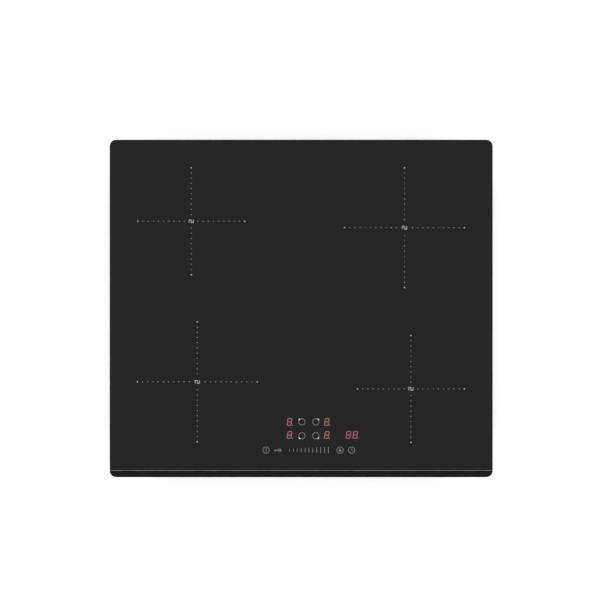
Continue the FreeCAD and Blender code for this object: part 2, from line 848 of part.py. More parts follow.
def make_sensors():
    """One sprung temperature sensor pressed against the glass in each coil's centre."""
    template = new_body("sensor", kept=False)
    section = Outline(template, plane="XZ_Plane")
    section.polygon([
        ("0", "plate_top"),
        ("sensor_flange_radius", "plate_top"),
        ("sensor_flange_radius", "plate_top + sensor_flange_height"),
        ("sensor_radius", "plate_top + sensor_flange_height"),
        ("sensor_radius", "build_depth"),
        ("0", "build_depth"),
    ])
    revolve(template, section)
    spots = [(*zone_layout(zone)[:2], "0", None) for zone in ZONES]
    copies("temperature_sensors", template, spots)


def lead_drops(zone):
    """The bound points where a coil's two leads turn down past its rim."""
    x, y, coil_radius = zone_layout(zone)
    inward = -ZONES[zone][1]
    reach = f"({coil_radius} + former_rim + lead_standout)"
    return [(f"{x} + {sign} * lead_pair_spread", f"{y} + {inward} * {reach}") for sign in (-1, 1)]


def make_coil_plate(name):
    """The aluminium plate that carries two coils, cut away round the control carrier."""
    side = SIDES[name]
    body = new_body("coil_plate_" + name)
    notch = "carrier_right_x + plate_lip" if side > 0 else "plate_lip - carrier_left_x"
    outline = [("plate_inner_x", "notch_y"), (notch, "notch_y"), (notch, "plate_front_y"),
               ("plate_outer_x", "plate_front_y"), ("plate_outer_x", "plate_rear_y"),
               ("plate_inner_x", "plate_rear_y")]
    sheet_outline = Outline(body, lift="plate_bottom")
    sheet_outline.polygon([(f"{side} * ({x})", y) for x, y in outline])
    pad(body, sheet_outline, "plate_thickness")
    zones = [zone for zone in ZONES if ZONES[zone][0] == side]
    holes = Outline(body, lift="plate_top")
    for zone in zones:
        holes.circle(*zone_layout(zone)[:2], "plate_hole_radius")
        for drop_x, drop_y in lead_drops(zone):
            holes.circle(drop_x, drop_y, "lead_hole_radius")
    cut(body, holes, "plate_thickness + cut_margin")
    drops = [lead_drops(zone)[0][1] for zone in zones]
    middle = f"(({drops[0]}) + ({drops[1]})) / 2"
    span = "plate_slot_pitch * (plate_slot_count - 1)"
    start = f"{side} * (plate_inner_x + plate_outer_x) / 2 - ({span}) / 2"
    slots = Outline(body, lift="plate_top")
    slots.centred_box(start, middle, "plate_slot_width", "plate_slot_length")
    slot = cut(body, slots, "plate_thickness + cut_margin")
    row_of(body, slot, slots, span, "plate_slot_count")


def post_spots():
    """The places of the eight sprung posts under the coil plates."""
    spots = []
    for side in SIDES.values():
        front_inner = "carrier_right_x" if side > 0 else "-carrier_left_x"
        spots += [
            (f"{side} * (plate_outer_x - post_inset)", "plate_rear_y - post_inset"),
            (f"{side} * (plate_inner_x + post_inset)", "plate_rear_y - post_inset"),
            (f"{side} * (plate_outer_x - post_inset)", "plate_front_y + post_inset"),
            (f"{side} * ({front_inner} + plate_lip + post_inset)", "plate_front_y + post_inset"),
        ]
    return spots


def make_plate_springs():
    """Bent strips that press the coil plates up against the glass."""
    template = new_body("plate_spring", kept=False)
    end = "(spring_length / 2)"
    ramp = "(spring_length / 2 - spring_foot)"
    crown = "(spring_crown / 2)"
    rise = "spring_height - spring_gauge"
    under = [(f"-{end}", "0"), (f"-{ramp}", "0"), (f"-{crown}", rise),
             (crown, rise), (ramp, "0"), (end, "0")]
    over = [(end, "spring_gauge"), (f"{ramp} + spring_gauge / 2", "spring_gauge"),
            (f"{crown} + spring_gauge / 2", "spring_height"),
            (f"-{crown} - spring_gauge / 2", "spring_height"),
            (f"-{ramp} - spring_gauge / 2", "spring_gauge"), (f"-{end}", "spring_gauge")]
    strip = Outline(template, plane="XZ_Plane")
    strip.polygon(under + over)
    pad(template, strip, "spring_width", both_ways=True)
    copies("plate_springs", template, [(x, y, "post_top", None) for x, y in post_spots()])


# ---------------------------------------------------------------- power electronics

def board_corners(left, front, right, rear):
    """The four screw places of a board."""
    return [(f"{x} {x_sign} standoff_inset", f"{y} {y_sign} standoff_inset")
            for x, x_sign in ((left, "+"), (right, "-")) for y, y_sign in ((front, "+"), (rear, "-"))]


def board_rectangles():
    """Left, front, right and rear of each board that stands on the tray floor."""
    return {
        "power_board_left": ("-board_outer_x", "board_front_y", "-board_inner_x", "board_rear_y"),
        "power_board_right": ("board_inner_x", "board_front_y", "board_outer_x", "board_rear_y"),
        "filter_board": ("-filter_width / 2", "filter_front_y", "filter_width / 2",
                         "filter_rear_y"),
    }


def make_board(label):
    edges = board_rectangles()[label]
    body = new_body(label)
    outline = Outline(body, lift="board_bottom")
    outline.box(*edges)
    for x, y in board_corners(*edges):
        outline.circle(x, y, "screw_radius + hole_clearance")
    pad(body, outline, "board_thickness")


def make_posts():
    """Standoffs under the boards and the taller posts under the coil plate springs."""
    posts = [tube(x, y, "floor_top", "standoff_radius", "screw_radius", "standoff_height")
             for edges in board_rectangles().values() for x, y in board_corners(*edges)]
    posts += [rod(x, y, "floor_top", "post_radius", "post_top - floor_top")
              for x, y in post_spots()]
    group("support_posts", posts)


def make_heat_sink(name):
    """An extrusion with upright fins, which the blower blows through."""
    body = new_body("heat_sink_" + name)
    set_place(body, f"{SIDES[name]} * sink_x", "sink_y", "board_top")
    gap = "((sink_width - fin_count * fin_thickness) / (fin_count - 1))"
    points = [("-sink_width / 2", "0"), ("sink_width / 2", "0")]
    for fin in range(int(amount("fin_count")) - 1, -1, -1):
        left = f"-sink_width / 2 + {fin} * (fin_thickness + {gap})"
        points.append((f"{left} + fin_thickness", "sink_height"))
        points.append((left, "sink_height"))
        if fin:
            points.append((left, "sink_base"))
            points.append((f"{left} - {gap}", "sink_base"))
    section = Outline(body, plane="XZ_Plane")
    section.polygon(points)
    pad(body, section, "sink_length", both_ways=True)


def counted(alias):
    """The places of a counted row, from 0."""
    return range(int(amount(alias)))


def make_board_parts():
    transistors = []
    capacitors = []
    chokes = []
    for side in SIDES.values():
        face = f"{side} * (sink_x + sink_width / 2 + transistor_thickness / 2)"
        for place in counted("transistor_count"):
            y = f"sink_y + ({place} - (transistor_count - 1) / 2) * transistor_pitch"
            transistors.append(block(face, y, "board_top", "transistor_thickness",
                                     "transistor_width", "transistor_height"))
        for place in counted("capacitor_count"):
            y = f"board_front_y + capacitor_front_gap + {place} * capacitor_pitch"
            capacitors.append(block(f"{side} * (board_inner_x + capacitor_inset)", y, "board_top",
                                    "capacitor_length", "capacitor_width", "capacitor_height"))
        for place in counted("choke_count"):
            y = f"board_front_y + choke_front_gap + {place} * choke_pitch"
            chokes.append(tube(f"{side} * (board_outer_x - choke_inset)", y, "board_top",
                               "choke_radius", "choke_bore_radius", "choke_height"))
    group("power_transistors", transistors)
    group("resonance_capacitors", capacitors)
    group("board_chokes", chokes)


def make_filter_parts():
    """The mains filter's chokes and capacitors, and the main relay."""
    parts = []
    for place in counted("filter_choke_count"):
        y = f"filter_front_y + filter_choke_front_gap + {place} * filter_choke_pitch"
        parts.append(tube("-filter_choke_offset", y, "board_top", "choke_radius",
                          "choke_bore_radius", "choke_height"))
    for place in counted("filter_capacitor_count"):
        y = f"filter_front_y + filter_capacitor_front_gap + {place} * filter_capacitor_pitch"
        parts.append(block("filter_capacitor_offset", y, "board_top", "filter_capacitor_length",
                           "filter_capacitor_width", "capacitor_height"))
    parts.append(block("relay_offset", "filter_front_y + relay_front_gap", "board_top",
                       "relay_length", "relay_width", "relay_height"))
    group("filter_parts", parts)


# ---------------------------------------------------------------- blowers

def make_blower_housing(name):
    """A flat scroll, open below to the tray grille and in front to the heat sink."""
    body = new_body("blower_housing_" + name)
    set_place(body, f"{SIDES[name]} * blower_x", "blower_y")
    shell = Outline(body, lift="floor_top")
    shell.rounded_box("0", "0", "blower_size", "blower_size", "blower_corner_radius")
    pad(body, shell, "blower_height")
    scroll = Outline(body, lift="floor_top")
    scroll.circle("0", "0", "blower_cavity_radius")
    cut(body, scroll, "blower_height - blower_wall", backward=True)
    duct = Outline(body, lift="floor_top + blower_wall")
    duct.box("-blower_cavity_radius", "-blower_size / 2 - cut_margin",
             "blower_duct_width - blower_cavity_radius", "0")
    cut(body, duct, "blower_height - 2 * blower_wall", backward=True)


def make_blower_motors():
    """The fixed stators, hung from the housing roofs with a bore for the rotor shaft."""
    template = new_body("blower_motor", kept=False)
    disc = Outline(template, lift="motor_bottom")
    disc.circle("0", "0", "motor_radius")
    disc.circle("0", "0", "shaft_radius + shaft_clearance")
    pad(template, disc, "motor_height")
    spots = [(f"{side} * blower_x", "blower_y", "0", None) for side in SIDES.values()]
    copies("blower_motors", template, spots)


def make_impeller(name):
    """The rotor cup with its shaft, back plate, blades and end ring."""
    body = new_body("blower_impeller_" + name)
    set_place(body, f"{SIDES[name]} * blower_x", "blower_y")
    cup_floor = "(motor_bottom - cup_floor_gap)"
    cup_inner = "(motor_radius + cup_wall_gap)"
    plate_top = "(blower_roof - impeller_clearance)"
    blade_bottom = "(floor_top + impeller_clearance)"
    section = Outline(body, plane="XZ_Plane")
    section.polygon([
        ("0", f"{cup_floor} - impeller_plate"),
        (f"{cup_inner} + impeller_plate", f"{cup_floor} - impeller_plate"),
        (f"{cup_inner} + impeller_plate", f"{plate_top} - impeller_plate"),
        ("impeller_radius", f"{plate_top} - impeller_plate"),
        ("impeller_radius", plate_top),
        (cup_inner, plate_top),
        (cup_inner, cup_floor),
        ("shaft_radius", cup_floor),
        ("shaft_radius", "blower_roof - shaft_end_gap"),
        ("0", "blower_roof - shaft_end_gap"),
    ])
    revolve(body, section)
    blade = Outline(body, lift=blade_bottom)
    blade.box("impeller_radius - impeller_blade_length", "-impeller_blade_gauge / 2",
              "impeller_radius - impeller_blade_inset", "impeller_blade_gauge / 2")
    vane = pad(body, blade, f"{plate_top} - impeller_plate - {blade_bottom}")
    ring_of(body, vane, blade, "impeller_blade_count")
    hoop = Outline(body, lift=f"{blade_bottom} - impeller_plate / 2")
    hoop.circle("0", "0", "impeller_radius")
    hoop.circle("0", "0", "impeller_radius - impeller_hoop_width")
    pad(body, hoop, "impeller_plate")


# ---------------------------------------------------------------- mains connection

def make_terminal_box():
    """A moulded box over the floor opening, with a boss for each lid screw."""
    body = new_body("terminal_box")
    set_place(body, "terminal_offset", "terminal_y", "floor_top")
    shell = Outline(body)
    shell.rounded_box("0", "0", "terminal_width", "terminal_depth", "terminal_corner_radius")
    pad(body, shell, "terminal_height")
    bosses = Outline(body)
    pilots = Outline(body)
    for side in SIDES.values():
        bosses.circle(f"{side} * boss_x", "0", "terminal_boss_radius")
        pilots.circle(f"{side} * boss_x", "0", "screw_radius + hole_clearance")
    pad(body, bosses, "terminal_boss_height")
    hollow = Outline(body)
    hollow.centred_box("0", "0", "terminal_width - 2 * terminal_wall",
                       "terminal_depth - 2 * terminal_wall")
    cut(body, hollow, "terminal_height - terminal_wall", backward=True)
    cut(body, pilots, "terminal_boss_height - terminal_pilot_end", backward=True)
    entry = Outline(body, plane="XZ_Plane", lift="-terminal_depth / 2 - cut_margin")
    entry.circle("0", "cable_height - floor_top", "cable_hole_radius")
    cut(body, entry, "terminal_wall + 2 * cut_margin", backward=True)
    outlets = Outline(body, plane="XZ_Plane", lift="terminal_depth / 2 + cut_margin")
    for place in (-1, 0, 1):
        outlets.circle(f"{place} * terminal_post_pitch", "cable_height - floor_top",
                       "lead_radius + hole_clearance")
    cut(body, outlets, "terminal_wall + 2 * cut_margin")


def make_terminal_posts():
    """Five brass wire clamps in a row under the roof of the terminal box."""
    body = new_body("terminal_posts")
    set_place(body, "terminal_offset", "terminal_y")
    span = "terminal_post_pitch * (terminal_post_count - 1)"
    posts = Outline(body, lift="post_row_bottom", across=f"-({span}) / 2")
    posts.centred_box("0", "0", "terminal_post_width", "terminal_post_depth")
    row_of(body, pad(body, posts, "terminal_post_height"), posts, span, "terminal_post_count")


def make_terminal_lid():
    body = new_body("terminal_lid")
    set_place(body, "terminal_offset", "terminal_y", "lid_bottom")
    plate = Outline(body)
    plate.rounded_box("0", "0", "terminal_width - 2 * terminal_wall + 2 * lid_lip",
                      "terminal_depth - 2 * terminal_wall + 2 * lid_lip",
                      "terminal_corner_radius")
    pad(body, plate, "lid_thickness")
    ears = Outline(body)
    holes = Outline(body, lift="lid_thickness")
    for side in SIDES.values():
        ears.circle(f"{side} * boss_x", "0", "lid_ear_radius")
        holes.circle(f"{side} * boss_x", "0", "screw_radius + hole_clearance")
    pad(body, ears, "lid_thickness")
    cut(body, holes, "lid_thickness")


def make_cable_entry():
    """A flanged bush in the rear wall that the supply cable passes through."""
    body = new_body("cable_entry")
    set_place(body, "terminal_offset", "tray_depth / 2", "cable_height")
    section = Outline(body, plane="YZ_Plane")
    section.polygon([
        ("cable_flange", "cable_bore_radius"),
        ("cable_flange", "cable_flange_radius"),
        ("0", "cable_flange_radius"),
        ("0", "cable_hole_radius"),
        ("-sheet_gauge", "cable_hole_radius"),
        ("-sheet_gauge", "cable_flange_radius"),
        ("-sheet_gauge - cable_flange", "cable_flange_radius"),
        ("-sheet_gauge - terminal_wall_gap", "cable_bore_radius + cable_bush_wall"),
        ("-sheet_gauge - terminal_wall_gap", "cable_bore_radius"),
    ])
    revolve(body, section, axis="H_Axis")


# ---------------------------------------------------------------- touch controls

def control_point(across, from_front):
    """A place on the control panel, measured from its middle and from the front edge."""
    return f"control_offset + ({across})", f"{from_front} - glass_depth / 2"


def make_control_carrier():
    body = new_body("control_carrier")
    box = ("carrier_left_x", "carrier_front_y", "carrier_right_x", "carrier_rear_y")
    outer = Outline(body, lift="carrier_bottom")
    outer.box(*box)
    pad(body, outer, "carrier_height")
    inner = Outline(body, lift="carrier_top")
    inner.box("carrier_left_x + carrier_wall", "carrier_front_y + carrier_wall",
              "carrier_right_x - carrier_wall", "carrier_rear_y - carrier_wall")
    cut(body, inner, "carrier_height - carrier_wall")
    legs = Outline(body, lift="floor_top")
    inset = "carrier_leg_radius + carrier_wall"
    for x in (f"carrier_left_x + {inset}", f"carrier_right_x - ({inset})"):
        for y in (f"carrier_front_y + {inset}", f"carrier_rear_y - ({inset})"):
            legs.circle(x, y, "carrier_leg_radius")
    pad(body, legs, "carrier_bottom + carrier_wall / 2 - floor_top")


def make_control_board():
    body = new_body("control_board")
    outline = Outline(body, lift="carrier_top")
    outline.box("carrier_left_x + control_board_inset", "carrier_front_y + control_board_inset",
                "carrier_right_x - control_board_inset", "carrier_rear_y - control_board_inset")
    pad(body, outline, "board_thickness")


def make_displays():
    modules = []
    for row in ("front_zone_row", "rear_zone_row"):
        for side in SIDES.values():
            x, y = control_point(f"{side} * digit_spread", row)
            modules.append(block(x, y, "control_board_top", "digit_width", "digit_height",
                                 "display_height"))
    x, y = control_point("timer_offset", "timer_row")
    modules.append(block(x, y, "control_board_top", "2 * digit_width", "digit_height",
                         "display_height"))
    group("display_modules", modules)


def make_touch_pads():
    """Conductive foam pads between the control board and the glass, one under each key."""
    keys = [control_point(f"{side} * {offset}", "touch_row")
            for side in SIDES.values() for offset in ("outer_key_offset", "inner_key_offset")]
    keys += [control_point(f"({place} - (slider_pad_count - 1) / 2) * slider_pad_pitch",
                           "touch_row") for place in counted("slider_pad_count")]
    for row in ("front_zone_row", "rear_zone_row"):
        keys += [control_point(f"{side} * selector_spread", row) for side in SIDES.values()]
    height = "build_depth - control_board_top"
    group("touch_pads", [rod(x, y, "control_board_top", "pad_radius", height) for x, y in keys])


# ---------------------------------------------------------------- wiring

def rounded_path(points, bend_radius):
    """Straight runs through the points, joined by tangent arcs."""
    edges = []
    start = points[0]
    for before, corner, after in zip(points, points[1:], points[2:]):
        arriving = (corner - before).normalize()
        leaving = (after - corner).normalize()
        turn = arriving.getAngle(leaving)
        shorter = min((corner - before).Length, (after - corner).Length)
        cutback = min(bend_radius * math.tan(turn / 2), LONGEST_ARC_SHARE * shorter)
        radius = cutback / math.tan(turn / 2)
        first = corner - arriving * cutback
        last = corner + leaving * cutback
        centre = corner + (leaving - arriving).normalize() * (radius / math.cos(turn / 2))
        middle = centre + (corner - centre).normalize() * radius
        edges.append(Part.LineSegment(start, first).toShape())
        edges.append(Part.Arc(first, middle, last).toShape())
        start = last
    edges.append(Part.LineSegment(start, points[-1]).toShape())
    return Part.Wire(edges)


def swept(path, section):
    """The solid that a closed section leaves along a path."""
    solid = path.makePipeShell([section], True, False)
    if not solid.isValid() or solid.Volume <= 0:
        raise RuntimeError("a lead did not sweep")
    return solid


def make_leads():
    """Two leads from each coil to its board, and the supply leads by way of the filter."""
    lane = {side: f"{side} * (board_inner_x + lead_lane)" for side in SIDES.values()}
    routes = []
    for zone, (side, end, _) in ZONES.items():
        rim_y = f"-{end} * lead_standout"
        board_y = "board_rear_y - lead_end_gap" if end > 0 else "board_front_y + lead_end_gap"
        for sign, (x, y) in zip((-1, 1), lead_drops(zone)):
            foot_x = f"{lane[side]} + {sign} * lead_pair_spread / 2"
            routes.append([
                (x, f"{y} - ({rim_y})", "lead_start_height"),
                (x, y, "lead_start_height"),
                (x, y, "lead_run_height"),
                (foot_x, board_y, "lead_run_height"),
                (foot_x, board_y, "board_top"),
            ])
    for place in (-1, 0, 1):
        x = f"terminal_offset + {place} * terminal_post_pitch"
        routes.append([
            (x, "terminal_y", "post_row_bottom"),
            (x, "terminal_y", "cable_height"),
            (x, "filter_rear_y - supply_end_gap", "cable_height"),
            (x, "filter_rear_y - supply_end_gap", "board_top"),
        ])
    for side in SIDES.values():
        for place in (0, 1):
            y = f"filter_front_y + bridge_lead_front_gap + {place} * bridge_lead_pitch"
            near = f"{side} * (filter_width / 2 - bridge_lead_inset)"
            far = f"{side} * (board_inner_x + sink_inset / 2)"
            routes.append([(near, y, "board_top"), (near, y, "board_top + bridge_lead_rise"),
                           (far, y, "board_top + bridge_lead_rise"), (far, y, "board_top")])
    solids = []
    for route in routes:
        points = [Vector(*(amount(size) for size in point)) for point in route]
        path = rounded_path(points, amount("lead_bend_radius"))
        heading = points[1] - points[0]
        section = Part.Wire(Part.makeCircle(amount("lead_radius"), points[0], heading))
        solids.append(swept(path, section))
    item = document.addObject("Part::Feature", "internal_leads")
    item.Shape = Part.makeCompound(solids)
    nodes.append(item)


def make_ribbon():
    """The flat cable from the control board, along the tray floor, to the filter board."""
    half_width = amount("ribbon_width / 2")
    half_gauge = amount("ribbon_gauge / 2")
    x = amount("control_offset")
    drop_y = amount("carrier_rear_y + plate_lip / 2")
    lift_y = amount("filter_front_y - plate_lip / 2")
    top = amount("control_board_top") + half_gauge
    low = amount("floor_top") + half_gauge
    landing = amount("board_top") + half_gauge
    points = [
        Vector(x, amount("carrier_rear_y - ribbon_landing"), top),
        Vector(x, drop_y, top),
        Vector(x, drop_y, low),
        Vector(x, lift_y, low),
        Vector(x, lift_y, landing),
        Vector(x, amount("filter_front_y + ribbon_landing"), landing),
    ]
    path = rounded_path(points, amount("ribbon_bend_radius"))
    corners = [Vector(x + right * half_width, points[0].y, top + up * half_gauge)
               for right, up in ((-1, -1), (1, -1), (1, 1), (-1, 1), (-1, -1))]
    item = document.addObject("Part::Feature", "ribbon_cable")
    item.Shape = swept(path, Part.makePolygon(corners))
    nodes.append(item)


# ---------------------------------------------------------------- fixings

def make_frame_screws():
    """Screws through the tray walls into the glass frame, and the two lid screws."""
    template = new_body("screw", kept=False)
    section = Outline(template, plane="XZ_Plane")
    section.polygon([
        ("0", "-screw_length"),
        ("screw_radius", "-screw_length"),
        ("screw_radius", "0"),
        ("screw_head_radius", "0"),
        ("screw_head_radius - screw_head_taper", "screw_head_height"),
        ("0", "screw_head_height"),
    ])
    revolve(template, section)
    spots = []
    for sign in (-1, 1):
        spots += [
            (f"{sign} * screw_x", "-tray_depth / 2", "screw_z", Rotation(Vector(1, 0, 0), 90)),
            (f"{sign} * screw_x", "tray_depth / 2", "screw_z", Rotation(Vector(1, 0, 0), -90)),
            ("tray_width / 2", f"{sign} * screw_y", "screw_z", Rotation(Vector(0, 1, 0), 90)),
            ("-tray_width / 2", f"{sign} * screw_y", "screw_z", Rotation(Vector(0, 1, 0), -90)),
            (f"terminal_offset + {sign} * boss_x", "terminal_y", "lid_bottom",
             Rotation(Vector(1, 0, 0), 180)),
        ]
    copies("case_screws", template, spots)


CLAMPS = {
    "rear_left": (-1, 1),
    "rear_right": (1, 1),
    "front_left": (-1, -1),
    "front_right": (1, -1),
}


def make_clamp_brackets():
    """Angle brackets on the side walls, threaded for the clamp screws."""
    template = new_body("clamp_bracket", kept=False)
    wall = "clamp_inset - sheet_gauge"
    section = Outline(template, plane="XZ_Plane")
    section.polygon([
        (f"-({wall})", "0"),
        (wall, "0"),
        (wall, "clamp_bracket_rise"),
        (f"{wall} - clamp_bracket_lip", "clamp_bracket_rise"),
        (f"{wall} - clamp_bracket_lip", "clamp_bracket_gauge"),
        (f"-({wall})", "clamp_bracket_gauge"),
    ])
    pad(template, section, "clamp_bracket_width", both_ways=True)
    hole = Outline(template, lift="clamp_bracket_gauge")
    hole.circle("0", "0", "clamp_screw_radius + shaft_clearance")
    cut(template, hole, "clamp_bracket_gauge")
    copies("clamp_brackets", template, [
        (f"{right} * clamp_x", f"{rear} * clamp_y", "clamp_bracket_bottom",
         Rotation(Vector(0, 0, 1), 0 if right > 0 else 180))
        for right, rear in CLAMPS.values()])


def make_clamp(name):
    """A clamp screw with a slotted head, and the arm that lies on it."""
    right, rear = CLAMPS[name]
    screw = new_body("clamp_screw_" + name)
    set_place(screw, f"{right} * clamp_x", f"{rear} * clamp_y", "clamp_head_bottom")
    section = Outline(screw, plane="XZ_Plane")
    top = "clamp_head_height + clamp_screw_length"
    section.polygon([
        ("0", "0"),
        ("clamp_head_radius - clamp_head_chamfer", "0"),
        ("clamp_head_radius", "clamp_head_chamfer"),
        ("clamp_head_radius", "clamp_head_height"),
        ("clamp_screw_radius", "clamp_head_height"),
        ("clamp_screw_radius", f"{top} - clamp_tip_chamfer"),
        ("clamp_screw_radius - clamp_tip_chamfer", top),
        ("0", top),
    ])
    revolve(screw, section)
    slot = Outline(screw)
    slot.centred_box("0", "0", "2 * clamp_head_radius", "clamp_slot_width")
    cut(screw, slot, "clamp_head_height / 2", backward=True)

    arm = new_body("clamp_arm_" + name)
    set_place(arm, f"{right} * clamp_x", f"{rear} * clamp_y", "clamp_arm_bottom",
              Rotation(Vector(0, 0, 1), 90 * rear))
    plan = Outline(arm)
    plan.rounded_box("clamp_arm_reach / 2", "0", "clamp_arm_reach + clamp_arm_width",
                     "clamp_arm_width", "(clamp_arm_width - clamp_arm_end_flat) / 2")
    plan.circle("0", "0", "clamp_screw_radius + shaft_clearance")
    pad(arm, plan, "clamp_arm_gauge")


# ---------------------------------------------------------------- build, check and write

make_glass()
make_glass_fixings()
make_tray()
make_posts()
for side_name in SIDES:
    make_coil_plate(side_name)
for zone_name in ZONES:
    make_former(zone_name)
    make_winding(zone_name)
    make_ferrites(zone_name)
    make_insulation_disc(zone_name)
make_sensors()
make_plate_springs()
for board_name in board_rectangles():
    make_board(board_name)
for side_name in SIDES:
    make_heat_sink(side_name)
    make_blower_housing(side_name)
    make_impeller(side_name)
make_board_parts()
make_filter_parts()
make_blower_motors()
make_terminal_box()
make_terminal_posts()
make_terminal_lid()
make_cable_entry()
make_control_carrier()
make_control_board()
make_displays()
make_touch_pads()
make_leads()
make_ribbon()
make_frame_screws()
make_clamp_brackets()
for clamp_name in CLAMPS:
    make_clamp(clamp_name)
document.recompute()

for item in document.Objects:
    if any(state in ("Invalid", "Error") for state in item.State):
        raise RuntimeError(f"{item.Label} did not build")
    if item.TypeId == "PartDesign::Pocket":
        before = item.BaseFeature.Shape.Volume
        if item.Shape.Volume > before - SAME:
            raise RuntimeError(f"{item.Label} cuts nothing")
for node in nodes:
    if node.Shape.isNull() or not node.Shape.isValid():
        raise RuntimeError(f"{node.Label} has no valid shape")

os.makedirs("parts", exist_ok=True)
for node in nodes:
    node.Shape.exportStep(f"parts/{node.Label}.step")
print(len(nodes), "nodes written")
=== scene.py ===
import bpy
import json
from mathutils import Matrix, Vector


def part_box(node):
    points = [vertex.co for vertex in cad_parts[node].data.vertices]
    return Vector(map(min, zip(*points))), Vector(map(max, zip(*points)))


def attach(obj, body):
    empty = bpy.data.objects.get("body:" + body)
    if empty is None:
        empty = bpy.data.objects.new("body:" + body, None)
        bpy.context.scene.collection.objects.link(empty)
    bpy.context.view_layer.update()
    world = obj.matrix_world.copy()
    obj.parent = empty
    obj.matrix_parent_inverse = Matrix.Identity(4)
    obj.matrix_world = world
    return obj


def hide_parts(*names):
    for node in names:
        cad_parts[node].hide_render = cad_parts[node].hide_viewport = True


bl_info = {
    "name": "Induction Hob",
    "version": (1, 0, 0),
    "blender": (4, 5, 0),
    "location": "3D View > Sidebar > Hob",
    "description": "Builds the visible pieces and finishes of a built-in induction hob",
    "category": "Object",
}

import json
import math

import bmesh
import bpy
from mathutils import Euler, Matrix, Vector

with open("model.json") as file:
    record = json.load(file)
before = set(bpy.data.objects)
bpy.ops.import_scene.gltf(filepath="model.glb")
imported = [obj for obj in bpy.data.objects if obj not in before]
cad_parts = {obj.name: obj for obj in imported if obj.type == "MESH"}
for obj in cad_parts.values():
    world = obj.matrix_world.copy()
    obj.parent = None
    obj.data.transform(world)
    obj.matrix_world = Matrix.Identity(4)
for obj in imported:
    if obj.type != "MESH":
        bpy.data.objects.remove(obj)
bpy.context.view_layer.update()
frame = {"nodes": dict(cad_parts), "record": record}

# Metres, +Z up, +X to the cook's right, -Y the front edge with the controls.
MM = 0.001
GLASS_LOW, GLASS_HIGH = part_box("glass_top")
GLASS_FACE = GLASS_HIGH.z
TRAY_LOW, TRAY_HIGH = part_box("base_tray")
MAIN_BODY = "hob"
SHARP_ANGLE = math.radians(35)


# ---------------------------------------------------------------- settings

def length(name, description, default):
    return bpy.props.FloatProperty(name=name, description=description, default=default,
                                   unit="LENGTH", precision=5, min=0.0)


def tint(name, description, default):
    return bpy.props.FloatVectorProperty(name=name, description=description, default=default,
                                         subtype="COLOR", size=3, min=0.0, max=1.0)


def amount(name, description, default, top=100.0):
    return bpy.props.FloatProperty(name=name, description=description, default=default,
                                   min=0.0, max=top)


class HobGlassSettings(bpy.types.PropertyGroup):
    corner_radius: length("Corner radius", "Plan radius of the glass corners", 10 * MM)
    edge_radius: length("Edge radius", "Rounding of the ground edges", 0.5 * MM)
    bevel_width: length("Bevel width", "Depth of the sloped front strip", 10.8 * MM)
    bevel_drop: length("Bevel drop", "Fall of the front strip at the edge", 2 * MM)
    arris_width: length("Arris width", "Width of the bright line behind the slope", 0.65 * MM)
    arris_drop: length("Arris drop", "Fall across the bright line", 0.31 * MM)
    shade_width: length("Shade width", "Width of the dark line before the bright one", 1.5 * MM)
    colour: tint("Glass colour", "Body colour of the glass-ceramic", (0.0045, 0.0045, 0.0046))


class HobMarkSettings(bpy.types.PropertyGroup):
    height: length("Print height", "Thickness of the printed enamel", 0.04 * MM)
    dot_pitch: length("Dot pitch", "Spacing of the dots along a cross", 8 * MM)
    dot_radius: length("Dot radius", "Radius of the small dots", 0.52 * MM)
    end_dot_radius: length("End dot radius", "Radius of the outermost dots", 0.95 * MM)
    first_dot: length("First dot", "Distance from a centre to its first dot", 10.5 * MM)
    small_zone: length("Small zone radius", "Reach of the small crosses", 82.35 * MM)
    large_zone: length("Large zone radius", "Reach of the large crosses", 92.25 * MM)
    sign_width: length("Sign width", "Width of the coil sign at a zone's centre", 7.4 * MM)
    sign_height: length("Sign height", "Height of the coil sign", 5.2 * MM)
    dots: tint("Dot enamel", "Colour of the fine dots", (0.52, 0.52, 0.53))
    grey: tint("Key enamel", "Colour of the printed key lines", (0.27, 0.27, 0.28))
    pale: tint("Pale enamel", "Colour of the end dots and coil signs", (0.5, 0.5, 0.51))
    bright: tint("Bright enamel", "Colour of the selectors' triangles", (0.72, 0.72, 0.73))


class HobControlSettings(bpy.types.PropertyGroup):
    stroke: length("Stroke", "Width of the printed lines", 0.62 * MM)
    key_row: length("Key row", "Front edge to the middle of the key row", 41.9 * MM)
    key_radius: length("Key radius", "Radius of the printed key rings", 4.85 * MM)
    slider_pitch: length("Slider pitch", "Spacing of the slider's bars", 6 * MM)
    slider_low: length("Shortest bar", "Length of the slider's first bar", 4.5 * MM)
    slider_high: length("Longest bar", "Length of the slider's last bar", 9.5 * MM)
    selector_front: length("Front selectors", "Front edge to the front selectors", 64.1 * MM)
    selector_rear: length("Rear selectors", "Front edge to the rear selectors", 85.4 * MM)
    selector_spread: length("Selector spread", "Half the gap between selectors", 10.7 * MM)
    corner_mark: length("Corner mark", "Side of a selector's corner triangle", 2.9 * MM)


class HobDisplaySettings(bpy.types.PropertyGroup):
    height: length("Digit height", "Height of a seven-segment digit", 11.2 * MM)
    width: length("Digit width", "Width of a seven-segment digit", 6.7 * MM)
    stroke: length("Segment width", "Width of a lit segment", 0.75 * MM)
    slant: bpy.props.FloatProperty(name="Slant", description="Lean of the digits to the right",
                                   default=math.radians(9), subtype="ANGLE")
    lit: tint("Lit segment", "Colour of a lit segment", (1.0, 0.52, 0.59))
    haze: tint("Haze", "Colour of the light round the digits", (0.5, 0.02, 0.05))
    brightness: amount("Brightness", "Light given off by a segment", 0.5)
    haze_glow: amount("Haze glow", "Light given off by the haze", 0.14)
    spill: length("Spill", "How far the haze reaches past a digit", 4.2 * MM)
    front_row: length("Front row", "Front edge to the front digits", 65.2 * MM)
    rear_row: length("Rear row", "Front edge to the rear digits", 85.4 * MM)
    timer_row: length("Timer row", "Front edge to the timer's digits", 65.4 * MM)


